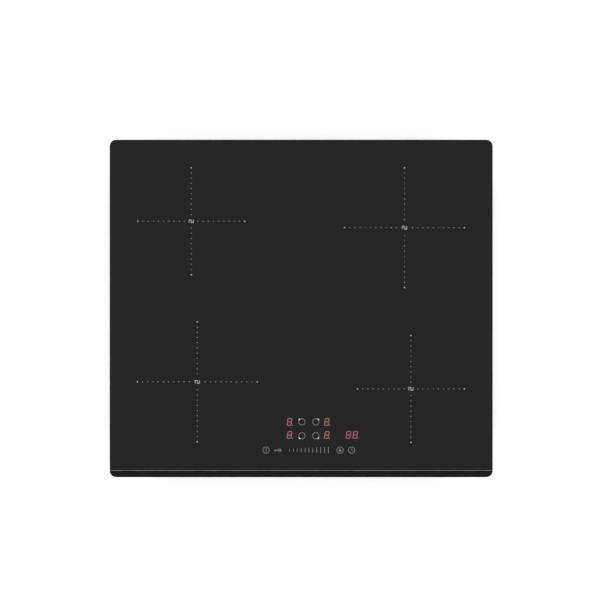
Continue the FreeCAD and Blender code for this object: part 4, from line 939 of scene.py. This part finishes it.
def make_slider_marks():
    """Eleven bars that grow from left to right."""
    settings = bpy.context.scene.hob_controls
    low, high = print_levels()
    count = 11
    first, y = key_place("slider")
    mesh = bmesh.new()
    for place in range(count):
        x = first + place * settings.slider_pitch
        share = place / (count - 1)
        tall = settings.slider_low + (settings.slider_high - settings.slider_low) * share
        weight = settings.stroke * (0.8 + 0.4 * share)
        stroke(mesh, [(x, y - tall / 2), (x, y + tall / 2)], weight, low, high)
    finish = enamel("slider_enamel", tuple(bpy.context.scene.hob_marks.grey))
    make_piece("slider_print", mesh, [finish])


# The selectors' middle line, to the right of the hob's.
SELECTOR_MIDDLE = 11.85 * MM


def make_selector_marks():
    """A ring for each zone, with a solid triangle that points to the zone's corner."""
    settings = bpy.context.scene.hob_controls
    marks = bpy.context.scene.hob_marks
    low, high = print_levels()
    rings, corners = bmesh.new(), bmesh.new()
    for end, row in ((-1, settings.selector_front), (1, settings.selector_rear)):
        for side in (-1, 1):
            x = SELECTOR_MIDDLE + side * settings.selector_spread
            y = GLASS_LOW.y + row
            ring_mark(rings, x, y, settings.key_radius)
            tip = (x + side * settings.key_radius, y + end * settings.key_radius)
            triangle = [tip, (tip[0] - side * settings.corner_mark, tip[1]),
                        (tip[0], tip[1] - end * settings.corner_mark)]
            prism(corners, triangle, low, high + 0.2 * marks.height)
    make_piece("zone_selector_rings", rings, [enamel("selector_enamel", tuple(marks.grey))])
    make_piece("zone_selector_corners", corners, [enamel("corner_enamel", tuple(marks.bright))])


# ---------------------------------------------------------------- displays

def segment_outlines():
    """The seven bars of a digit about its centre, upright, as pointed six-sided bars."""
    settings = bpy.context.scene.hob_display
    half = settings.stroke / 2
    gap = 0.18 * MM
    wide = (settings.width - settings.stroke) / 2
    tall = (settings.height - settings.stroke) / 2
    flat = [(-wide + gap, 0), (-wide + gap + half, half), (wide - gap - half, half),
            (wide - gap, 0), (wide - gap - half, -half), (-wide + gap + half, -half)]
    bars = [[(x, y + level * tall) for x, y in flat] for level in (-1, 0, 1)]
    for side in (-1, 1):
        for level in (0, 1):
            low, high = (level - 1) * tall + gap, level * tall - gap
            x = side * wide
            bars.append([(x, low), (x + half, low + half), (x + half, high - half),
                         (x, high), (x - half, high - half), (x - half, low + half)])
    return bars


def digit(mesh, x, y, with_point):
    settings = bpy.context.scene.hob_display
    low, high = print_levels()
    lean = math.tan(settings.slant)
    for bar in segment_outlines():
        prism(mesh, [(x + px + py * lean, y + py) for px, py in bar], low, high)
    if with_point:
        aside, rise, radius = 0.9 * MM, 0.5 * MM, 0.7 * MM
        printed_dot(mesh, x + settings.width / 2 + aside, y - settings.height / 2 + rise, radius)


def haze_patch(mesh, x, y, half_x, half_y):
    """A thin patch whose haze value falls from its middle to its rim."""
    low, high = print_levels()
    top = GLASS_FACE + (high - GLASS_FACE) / 4
    haze = mesh.verts.layers.float.get("haze") or mesh.verts.layers.float.new("haze")
    steps = 8
    corner = 0.8 * min(half_x, half_y)
    outline = rounded_box(half_x, half_y, corner, steps=6)
    shares = [1 - step / steps for step in range(steps)] + [0.02]
    rings = [placed(outline, x, y, low)]
    rings += [placed(outline, x, y, top, share) for share in shares]
    before = len(mesh.verts)
    loft(mesh, rings)
    mesh.verts.ensure_lookup_table()
    for place, vertex in enumerate(mesh.verts[before:]):
        ring = place // len(outline)
        vertex[haze] = max(0.0, 1 - shares[max(0, ring - 1)]) if ring else 0.0


# How far each digit of a row stands to the right of the hob's middle.
ZONE_DIGITS = (-18.0 * MM, 39.4 * MM)
TIMER_DIGITS = (72.6 * MM, 83.3 * MM)


def make_displays():
    """A lit digit with its point beside each zone's selector, and two for the timer."""
    settings = bpy.context.scene.hob_display
    zone_digits = [(x, GLASS_LOW.y + row) for row in (settings.front_row, settings.rear_row)
                   for x in ZONE_DIGITS]
    timer_digits = [(x, GLASS_LOW.y + settings.timer_row) for x in TIMER_DIGITS]
    lit, haze = lit_segment(), display_haze()
    half_x, half_y = settings.width / 2 + settings.spill, settings.height / 2 + settings.spill
    for name, places in (("zone", zone_digits), ("timer", timer_digits)):
        digits, patches = bmesh.new(), bmesh.new()
        for place, (x, y) in enumerate(places):
            digit(digits, x, y, name == "zone" or place == len(places) - 1)
        if name == "zone":
            for x, y in places:
                haze_patch(patches, x, y, half_x, half_y)
        else:
            middle = sum(x for x, _ in places) / len(places)
            span = abs(places[-1][0] - places[0][0]) / 2
            haze_patch(patches, middle, places[0][1], half_x + span, half_y)
        make_piece(name + "_digits", digits, [lit])
        make_piece(name + "_display_haze", patches, [haze])


# ---------------------------------------------------------------- tray and its fixings

def threaded_rod(mesh, radius, low, high, pitch, sides=20):
    """A rod whose surface rises and falls along a helix."""
    steps = 6
    depth = 0.3 * pitch
    count = max(2, round((high - low) / pitch * steps))
    rings = []
    for level in range(count + 1):
        z = low + (high - low) * level / count
        fade = min(1.0, (high - z) / pitch, (z - low) / pitch)
        ring = []
        for side in range(sides):
            turn = 2 * math.pi * side / sides
            wave = abs(((z / pitch - side / sides) % 1.0) * 2 - 1)
            reach = radius - depth * wave - (1 - fade) * 0.15 * radius
            ring.append((reach * math.cos(turn), reach * math.sin(turn), z))
        rings.append(ring)
    loft(mesh, rings)


def cross_recess(mesh, width, depth, top):
    """Press a tapered cross into the flat middle of a screw head by a solid difference."""
    cutter = bmesh.new()
    for turn in (0, math.pi / 2):
        part = bmesh.new()
        half, thin = width, 0.22 * width
        rings = [[(-half * share, -thin * share, z), (half * share, -thin * share, z),
                  (half * share, thin * share, z), (-half * share, thin * share, z)]
                 for share, z in ((0.55, top - depth), (1.0, top + 0.2 * depth))]
        loft(part, rings)
        bmesh.ops.recalc_face_normals(part, faces=part.faces)
        add_copy(cutter, part, Matrix.Rotation(turn, 4, "Z"))
        part.free()
    return subtract(mesh, cutter)


def subtract(mesh, cutter):
    """The first bmesh less the second, by an exact boolean."""
    holders = []
    for shape in (mesh, cutter):
        bmesh.ops.recalc_face_normals(shape, faces=shape.faces)
        data = bpy.data.meshes.new("boolean")
        shape.to_mesh(data)
        shape.free()
        holder = bpy.data.objects.new("boolean", data)
        bpy.context.scene.collection.objects.link(holder)
        holders.append(holder)
    change = holders[0].modifiers.new("cut", "BOOLEAN")
    change.operation = "DIFFERENCE"
    change.object = holders[1]
    change.solver = "EXACT"
    change.use_self = True
    graph = bpy.context.evaluated_depsgraph_get()
    result = bmesh.new()
    result.from_mesh(holders[0].evaluated_get(graph).to_mesh())
    for holder in holders:
        data = holder.data
        bpy.data.objects.remove(holder)
        bpy.data.meshes.remove(data)
    return result


def case_screw(radius, head_radius, head_height, shank):
    """A pan-head screw with a cross recess, its head up and its seat at z = 0."""
    mesh = bmesh.new()
    pitch = 1.0 * MM
    crown = [(head_radius * share, head_height * (0.28 + 0.72 * math.sqrt(1 - share ** 2)))
             for share in (1.0, 0.97, 0.9, 0.78, 0.6, 0.35, 0.05)]
    lathe(mesh, [(radius, -0.1 * MM), (head_radius, 0.0), *crown])
    head = cross_recess(mesh, 0.62 * head_radius, 0.75 * head_height, head_height)
    threaded_rod(head, radius, -shank, 0.0, pitch, sides=14)
    return head


def make_case_screws():
    """Ten screws: eight through the tray's walls and two through the terminal lid."""
    boxes = islands("case_screws")
    shank = 7 * MM
    screw = case_screw(radius=1.5 * MM, head_radius=3.2 * MM, head_height=1.4 * MM, shank=shank)
    middle = (TRAY_LOW + TRAY_HIGH) / 2
    mesh = bmesh.new()
    for low, high in boxes:
        centre = (low + high) / 2
        size = high - low
        axis = max(range(3), key=lambda part: size[part])
        out = Vector((0, 0, 0))
        out[axis] = -1 if axis == 2 else math.copysign(1, centre[axis] - middle[axis])
        tip = centre - out * size[axis] / 2
        seat = tip + out * shank
        facing = out.to_track_quat("Z", "Y").to_matrix().to_4x4()
        add_copy(mesh, screw, Matrix.Translation(seat) @ facing)
    screw.free()
    make_piece("cross_head_screws", mesh, [finish_of("zinc_steel")],
               stands_for=["case_screws"])


# Each bead's place across the floor, and its front and rear ends.
FLOOR_BEADS = ((-212 * MM, -175 * MM, 95 * MM), (-66 * MM, -205 * MM, 205 * MM),
               (72 * MM, -205 * MM, 205 * MM), (212 * MM, -175 * MM, 95 * MM))


def make_tray_beads():
    """Long beads pressed down out of the tray floor to stiffen it."""
    settings = bpy.context.scene.hob_metal
    floor = 3 * MM
    half = settings.bead_width / 2
    mesh = bmesh.new()
    for x, front, rear in FLOOR_BEADS:
        rings = []
        for share in (1.0, 0.86, 0.66, 0.42, 0.14):
            drop = settings.bead_height * math.sqrt(1 - share ** 2)
            outline = rounded_box(half * share, (rear - front) / 2 - half * (1 - share),
                                  half * share * 0.999, steps=8)
            rings.append(placed(outline, x, (front + rear) / 2, floor + 0.05 * MM - drop))
        loft(mesh, rings)
    make_piece("tray_floor_beads", mesh, [finish_of("galvanised_steel")])


def make_terminal_ribs():
    """Seven moulded ribs on the terminal lid."""
    low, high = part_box("terminal_lid")
    middle = (low + high) / 2
    mesh = bmesh.new()
    bottom, top = low.z - 0.7 * MM, low.z + 0.2 * MM
    pitch = 5.2 * MM
    half_length, half_width, corner = 24 * MM, 0.9 * MM, 0.85 * MM
    rib = rounded_box(half_length, half_width, corner, steps=4)
    for place in range(-3, 4):
        y = middle.y + place * pitch
        loft(mesh, [placed(rib, middle.x, y, z, share)
                    for share, z in ((0.96, bottom), (1.0, bottom + 0.25 * MM), (1.0, top))])
    make_piece("terminal_lid_ribs", mesh, [finish_of("black_plastic")])


def make_cable_bush():
    """The flanged rubber bush for the supply cable, with grip lobes round its flange."""
    low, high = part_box("cable_entry")
    bore = 5.5 * MM
    flange = (high.x - low.x) / 2
    depth = high.y - low.y
    neck = 8 * MM
    sides = 72
    lobes, lobe_depth, lobe_start = 12, 0.35 * MM, 5 * MM
    profile = [(bore, 0.0), (bore + 0.5 * MM, 0.0), (bore + 1.2 * MM, 0.4 * MM),
               (0.93 * flange, 2.2 * MM), (flange, 2.5 * MM), (flange, 3.9 * MM),
               (neck, 4.0 * MM), (neck, 5.0 * MM), (0.99 * flange, 5.0 * MM),
               (flange, 5.5 * MM), (0.97 * flange, depth - 0.5 * MM), (0.9 * flange, depth),
               (bore + 1.0 * MM, depth), (bore + 0.2 * MM, depth - 0.25 * MM),
               (bore, depth - 0.9 * MM)]
    rings = []
    for radius, z in profile:
        ring = []
        for side in range(sides):
            turn = 2 * math.pi * side / sides
            grip = lobe_depth * (radius > 0.9 * flange) * (z > lobe_start)
            reach = radius - grip * (1 - math.cos(lobes * turn)) / 2
            ring.append((reach * math.cos(turn), reach * math.sin(turn), z))
        rings.append(ring)
    mesh = bmesh.new()
    loft(mesh, rings, closed=True)
    place = Matrix.Translation(((low.x + high.x) / 2, low.y, (low.z + high.z) / 2))
    mesh.transform(place @ Euler((-math.pi / 2, 0, 0)).to_matrix().to_4x4())
    make_piece("cable_bush", mesh, [finish_of("black_plastic")],
               stands_for=["cable_entry"])


# ---------------------------------------------------------------- clamps

CORNERS = ("rear_left", "rear_right", "front_left", "front_right")


def make_clamp_screw(corner):
    """A threaded screw with a slotted head, head down."""
    low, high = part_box("clamp_screw_" + corner)
    centre = (low + high) / 2
    head_radius = (high.x - low.x) / 2
    head_height = 2.5 * MM
    rod_radius = 2.5 * MM
    half_slot = 0.6 * MM
    mesh = bmesh.new()
    lathe(mesh, [(0.8 * head_radius, 0.0), (0.94 * head_radius, 0.2 * MM),
                 (head_radius, 0.6 * MM), (head_radius, head_height - 0.2 * MM),
                 (0.96 * head_radius, head_height), (2.4 * MM, head_height)], sides=40)
    cutter = bmesh.new()
    prism(cutter, [(-2 * head_radius, -half_slot), (2 * head_radius, -half_slot),
                   (2 * head_radius, half_slot), (-2 * head_radius, half_slot)],
          -1 * MM, head_height / 2)
    screw = subtract(mesh, cutter)
    pitch = bpy.context.scene.hob_metal.thread_pitch
    threaded_rod(screw, rod_radius, head_height - 0.1 * MM, high.z - low.z, pitch)
    screw.transform(Matrix.Translation((centre.x, centre.y, low.z)))
    node = "clamp_screw_" + corner
    make_piece("threaded_" + node, screw, [finish_of("zinc_steel")],
               body=node, stands_for=[node])


def make_clamp_arm(corner):
    """A stamped arm with round ends, a rib down its back and a hole for the screw."""
    node = "clamp_arm_" + corner
    low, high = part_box(node)
    pivot_low, pivot_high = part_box("clamp_screw_" + corner)
    pivot = (pivot_low + pivot_high) / 2
    middle = (low + high) / 2
    half_width = (high.x - low.x) / 2
    outline = [(middle.x + x, middle.y + y)
               for x, y in rounded_box(half_width, (high.y - low.y) / 2, 0.92 * half_width)]
    hole_radius = 2.6 * MM
    hole = circle(hole_radius, 28, pivot.x, pivot.y)
    mesh = bmesh.new()
    plate(mesh, [outline, hole], low.z, high.z, edge=0.35 * MM)
    reach = middle.y - pivot.y
    rib_middle = pivot.y + 1.15 * reach
    rib = rounded_box(1.6 * MM, 0.55 * abs(reach), 1.55 * MM, steps=6)
    rings = [[(middle.x + x * share, rib_middle + y * (0.9 + 0.1 * share), z) for x, y in rib]
             for share, z in ((1.0, high.z - 0.1 * MM), (0.8, high.z + 0.08 * MM),
                              (0.4, high.z + 0.15 * MM))]
    loft(mesh, rings)
    make_piece("stamped_" + node, mesh, [finish_of("zinc_steel")],
               body=node, stands_for=[node])


def make_clamps():
    for corner in CORNERS:
        make_clamp_screw(corner)
        make_clamp_arm(corner)


# ---------------------------------------------------------------- carried-over nodes

TRAY_NODES = ("base_tray", "glass_frame", "glass_bond", "coil_plate_left", "coil_plate_right",
              "support_posts", "plate_springs", "clamp_brackets", "terminal_lid", "terminal_box",
              "terminal_posts")


def coat_nodes(names):
    slots = {part["node"]: part["material_slot"] for part in frame["record"]["subparts"]}
    for node in names:
        coat(node, finish_of(slots[node]))


def nodes_starting(*words):
    return [node for node in frame["nodes"] if node.startswith(words)]


def coat_tray():
    coat_nodes(TRAY_NODES)


def coat_coils():
    coat_nodes(nodes_starting("coil_former", "coil_winding", "ferrite", "insulation",
                              "temperature"))


def coat_electronics():
    coat_nodes(nodes_starting("power_", "filter_", "heat_sink", "resonance", "board_", "control_",
                              "display_", "touch_", "internal_", "ribbon_"))


def coat_blowers():
    coat_nodes(nodes_starting("blower_"))


# ---------------------------------------------------------------- stage

def one_sided(finish):
    """Let the floor be seen from above only, so that the hob's underside can be looked at."""
    see_through = finish.add("BsdfTransparent")
    either = finish.add("MixShader")
    finish.feed(either.inputs[0], finish.add("NewGeometry").outputs["Backfacing"])
    finish.feed(either.inputs[1], finish.shader.outputs[0])
    finish.feed(either.inputs[2], see_through.outputs[0])
    output = next(node for node in finish.tree.nodes if node.type == "OUTPUT_MATERIAL")
    finish.feed(output.inputs["Surface"], either.outputs[0])


def stage_floor():
    """A wide pale floor that curves up into a wall far out."""
    settings = bpy.context.scene.hob_stage
    finish = Finish("studio_floor", Roughness=0.9, Specular_IOR_Level=0.1,
                    Emission_Color=(1.0, 1.0, 1.0), Emission_Strength=settings.floor_glow)
    colour = tuple(settings.floor)
    finish.colour(finish.blend(finish.noise(0.4), scaled(colour, 0.985), colour))
    one_sided(finish)
    mesh = bmesh.new()
    flat, bend, wall, sides, steps = 5.0, 1.5, 2.5, 96, 8
    profile = [(0.05, 0.0), (1.0, 0.0), (flat, 0.0)]
    for step in range(1, steps + 1):
        turn = math.pi / 2 * step / steps
        profile.append((flat + bend * math.sin(turn), bend * (1 - math.cos(turn))))
    profile.append((flat + bend, wall))
    loops = [[mesh.verts.new(point) for point in at_height(circle(radius, sides), z - 0.1 * MM)]
             for radius, z in profile]
    mesh.faces.new(loops[0])
    for first, second in zip(loops, loops[1:]):
        for here, there in zip(range(sides), [*range(1, sides), 0]):
            mesh.faces.new((first[here], second[here], second[there], first[there]))
    for face in mesh.faces:
        face.smooth = True
    data = bpy.data.meshes.new("studio_floor")
    mesh.to_mesh(data)
    mesh.free()
    data.materials.append(finish.material)
    floor = bpy.data.objects.new("studio_floor", data)
    bpy.context.scene.collection.objects.link(floor)


def softbox(name, turn, tilt, distance, width, height, brightness):
    """A rectangular light aimed at the hob from a compass turn and a tilt off the vertical."""
    data = bpy.data.lights.new(name, "AREA")
    data.shape = "RECTANGLE"
    data.size, data.size_y = width, height
    data.energy = brightness * math.pi * width * height
    light = bpy.data.objects.new(name, data)
    away = Vector((math.sin(turn) * math.sin(tilt), -math.cos(turn) * math.sin(tilt),
                   math.cos(tilt)))
    light.location = away * distance
    light.rotation_euler = away.to_track_quat("Z", "Y").to_euler()
    light.visible_camera = False
    bpy.context.scene.collection.objects.link(light)


def make_stage():
    """The floor, the softboxes, the room light and the camera straight overhead."""
    settings = bpy.context.scene.hob_stage
    stage_floor()
    tilt = math.radians(54)
    distance, width, height = 2.6, 2.4, 1.1
    for name, turn in (("front_softbox", 0), ("right_softbox", 90), ("rear_softbox", 180),
                       ("left_softbox", 270)):
        softbox(name, math.radians(turn), tilt, distance, width, height, settings.softbox)
    world = bpy.data.worlds.new("studio_room")
    world.use_nodes = True
    room = next(node for node in world.node_tree.nodes if node.type == "BACKGROUND")
    room.inputs["Color"].default_value = (1.0, 1.0, 1.0, 1.0)
    room.inputs["Strength"].default_value = settings.room
    bpy.context.scene.world = world
    bpy.context.scene.view_settings.view_transform = "Standard"

    data = bpy.data.cameras.new("overhead_camera")
    data.lens = settings.lens
    camera = bpy.data.objects.new("overhead_camera", data)
    rise = settings.view_width * settings.lens / data.sensor_width
    camera.location = (settings.aim_right, settings.aim_rear, GLASS_FACE + rise)
    data.clip_start, data.clip_end = 0.05, 60.0
    bpy.context.scene.collection.objects.link(camera)
    bpy.context.scene.camera = camera


# ---------------------------------------------------------------- operators and panel

class HOB_OT_glass(bpy.types.Operator):
    """Make the bevelled black glass plate"""
    bl_idname = "hob.glass"
    bl_label = "Glass Plate"

    def execute(self, context):
        make_glass()
        return {"FINISHED"}


class HOB_OT_seal(bpy.types.Operator):
    """Make the foam seal under the glass rim"""
    bl_idname = "hob.seal"
    bl_label = "Worktop Seal"

    def execute(self, context):
        make_seal()
        return {"FINISHED"}


class HOB_OT_zone_marks(bpy.types.Operator):
    """Print the dotted crosses of the cooking zones"""
    bl_idname = "hob.zone_marks"
    bl_label = "Zone Crosses"

    def execute(self, context):
        make_zone_marks()
        return {"FINISHED"}


class HOB_OT_key_marks(bpy.types.Operator):
    """Print the four round and flat touch keys"""
    bl_idname = "hob.key_marks"
    bl_label = "Touch Keys"

    def execute(self, context):
        make_key_marks()
        return {"FINISHED"}


class HOB_OT_slider_marks(bpy.types.Operator):
    """Print the power slider"""
    bl_idname = "hob.slider_marks"
    bl_label = "Power Slider"

    def execute(self, context):
        make_slider_marks()
        return {"FINISHED"}


class HOB_OT_selector_marks(bpy.types.Operator):
    """Print the zone selector rings"""
    bl_idname = "hob.selector_marks"
    bl_label = "Zone Selectors"

    def execute(self, context):
        make_selector_marks()
        return {"FINISHED"}


class HOB_OT_displays(bpy.types.Operator):
    """Light the zone digits and the timer digits"""
    bl_idname = "hob.displays"
    bl_label = "Displays"

    def execute(self, context):
        make_displays()
        return {"FINISHED"}


class HOB_OT_tray(bpy.types.Operator):
    """Finish the tray, the frame and the plates that hang in it"""
    bl_idname = "hob.tray"
    bl_label = "Tray Finishes"

    def execute(self, context):
        coat_tray()
        return {"FINISHED"}


class HOB_OT_tray_beads(bpy.types.Operator):
    """Press the stiffening beads into the tray floor"""
    bl_idname = "hob.tray_beads"
    bl_label = "Floor Beads"

    def execute(self, context):
        make_tray_beads()
        return {"FINISHED"}


class HOB_OT_case_screws(bpy.types.Operator):
    """Make the cross-head screws"""
    bl_idname = "hob.case_screws"
    bl_label = "Case Screws"

    def execute(self, context):
        make_case_screws()
        return {"FINISHED"}


class HOB_OT_terminal_ribs(bpy.types.Operator):
    """Mould the ribs on the terminal lid"""
    bl_idname = "hob.terminal_ribs"
    bl_label = "Terminal Lid Ribs"

    def execute(self, context):
        make_terminal_ribs()
        return {"FINISHED"}


class HOB_OT_cable_bush(bpy.types.Operator):
    """Make the lobed bush that the supply cable passes through"""
    bl_idname = "hob.cable_bush"
    bl_label = "Cable Bush"

    def execute(self, context):
        make_cable_bush()
        return {"FINISHED"}


class HOB_OT_clamps(bpy.types.Operator):
    """Make the threaded clamp screws and their stamped arms"""
    bl_idname = "hob.clamps"
    bl_label = "Worktop Clamps"

    def execute(self, context):
        make_clamps()
        return {"FINISHED"}


class HOB_OT_coils(bpy.types.Operator):
    """Finish the coils, ferrites, discs and sensors"""
    bl_idname = "hob.coils"
    bl_label = "Coil Finishes"

    def execute(self, context):
        coat_coils()
        return {"FINISHED"}


class HOB_OT_electronics(bpy.types.Operator):
    """Finish the boards, their parts and the wiring"""
    bl_idname = "hob.electronics"
    bl_label = "Electronics Finishes"

    def execute(self, context):
        coat_electronics()
        return {"FINISHED"}


class HOB_OT_blowers(bpy.types.Operator):
    """Finish the two blowers"""
    bl_idname = "hob.blowers"
    bl_label = "Blower Finishes"

    def execute(self, context):
        coat_blowers()
        return {"FINISHED"}


class HOB_OT_stage(bpy.types.Operator):
    """Set the floor, the lights and the camera"""
    bl_idname = "hob.stage"
    bl_label = "Stage"

    def execute(self, context):
        make_stage()
        return {"FINISHED"}


OPERATORS = (HOB_OT_stage, HOB_OT_glass, HOB_OT_seal, HOB_OT_zone_marks, HOB_OT_key_marks,
             HOB_OT_slider_marks, HOB_OT_selector_marks, HOB_OT_displays, HOB_OT_tray,
             HOB_OT_tray_beads, HOB_OT_case_screws, HOB_OT_terminal_ribs, HOB_OT_cable_bush,
             HOB_OT_clamps, HOB_OT_coils, HOB_OT_electronics, HOB_OT_blowers)

SETTINGS = {
    "hob_glass": HobGlassSettings,
    "hob_marks": HobMarkSettings,
    "hob_controls": HobControlSettings,
    "hob_display": HobDisplaySettings,
    "hob_metal": HobMetalSettings,
    "hob_stage": HobStageSettings,
}


class HOB_PT_panel(bpy.types.Panel):
    """The hob's operators and the sizes and colours they use"""
    bl_idname = "HOB_PT_panel"
    bl_label = "Induction Hob"
    bl_space_type = "VIEW_3D"
    bl_region_type = "UI"
    bl_category = "Hob"

    def draw(self, context):
        for operator in OPERATORS:
            self.layout.operator(operator.bl_idname)
        for name, group in SETTINGS.items():
            box = self.layout.box()
            for setting in group.__annotations__:
                box.prop(getattr(context.scene, name), setting)


CLASSES = (*SETTINGS.values(), *OPERATORS, HOB_PT_panel)


def register():
    for item in CLASSES:
        bpy.utils.register_class(item)
    for name, group in SETTINGS.items():
        setattr(bpy.types.Scene, name, bpy.props.PointerProperty(type=group))


def unregister():
    for name in SETTINGS:
        delattr(bpy.types.Scene, name)
    for item in reversed(CLASSES):
        bpy.utils.unregister_class(item)


def main():
    register()
    bpy.ops.hob.stage()
    bpy.ops.hob.glass()
    bpy.ops.hob.seal()
    bpy.ops.hob.zone_marks()
    bpy.ops.hob.key_marks()
    bpy.ops.hob.slider_marks()
    bpy.ops.hob.selector_marks()
    bpy.ops.hob.displays()
    bpy.ops.hob.tray()
    bpy.ops.hob.tray_beads()
    bpy.ops.hob.case_screws()
    bpy.ops.hob.terminal_ribs()
    bpy.ops.hob.cable_bush()
    bpy.ops.hob.clamps()
    bpy.ops.hob.coils()
    bpy.ops.hob.electronics()
    bpy.ops.hob.blowers()


if __name__ == "__main__":
    main()
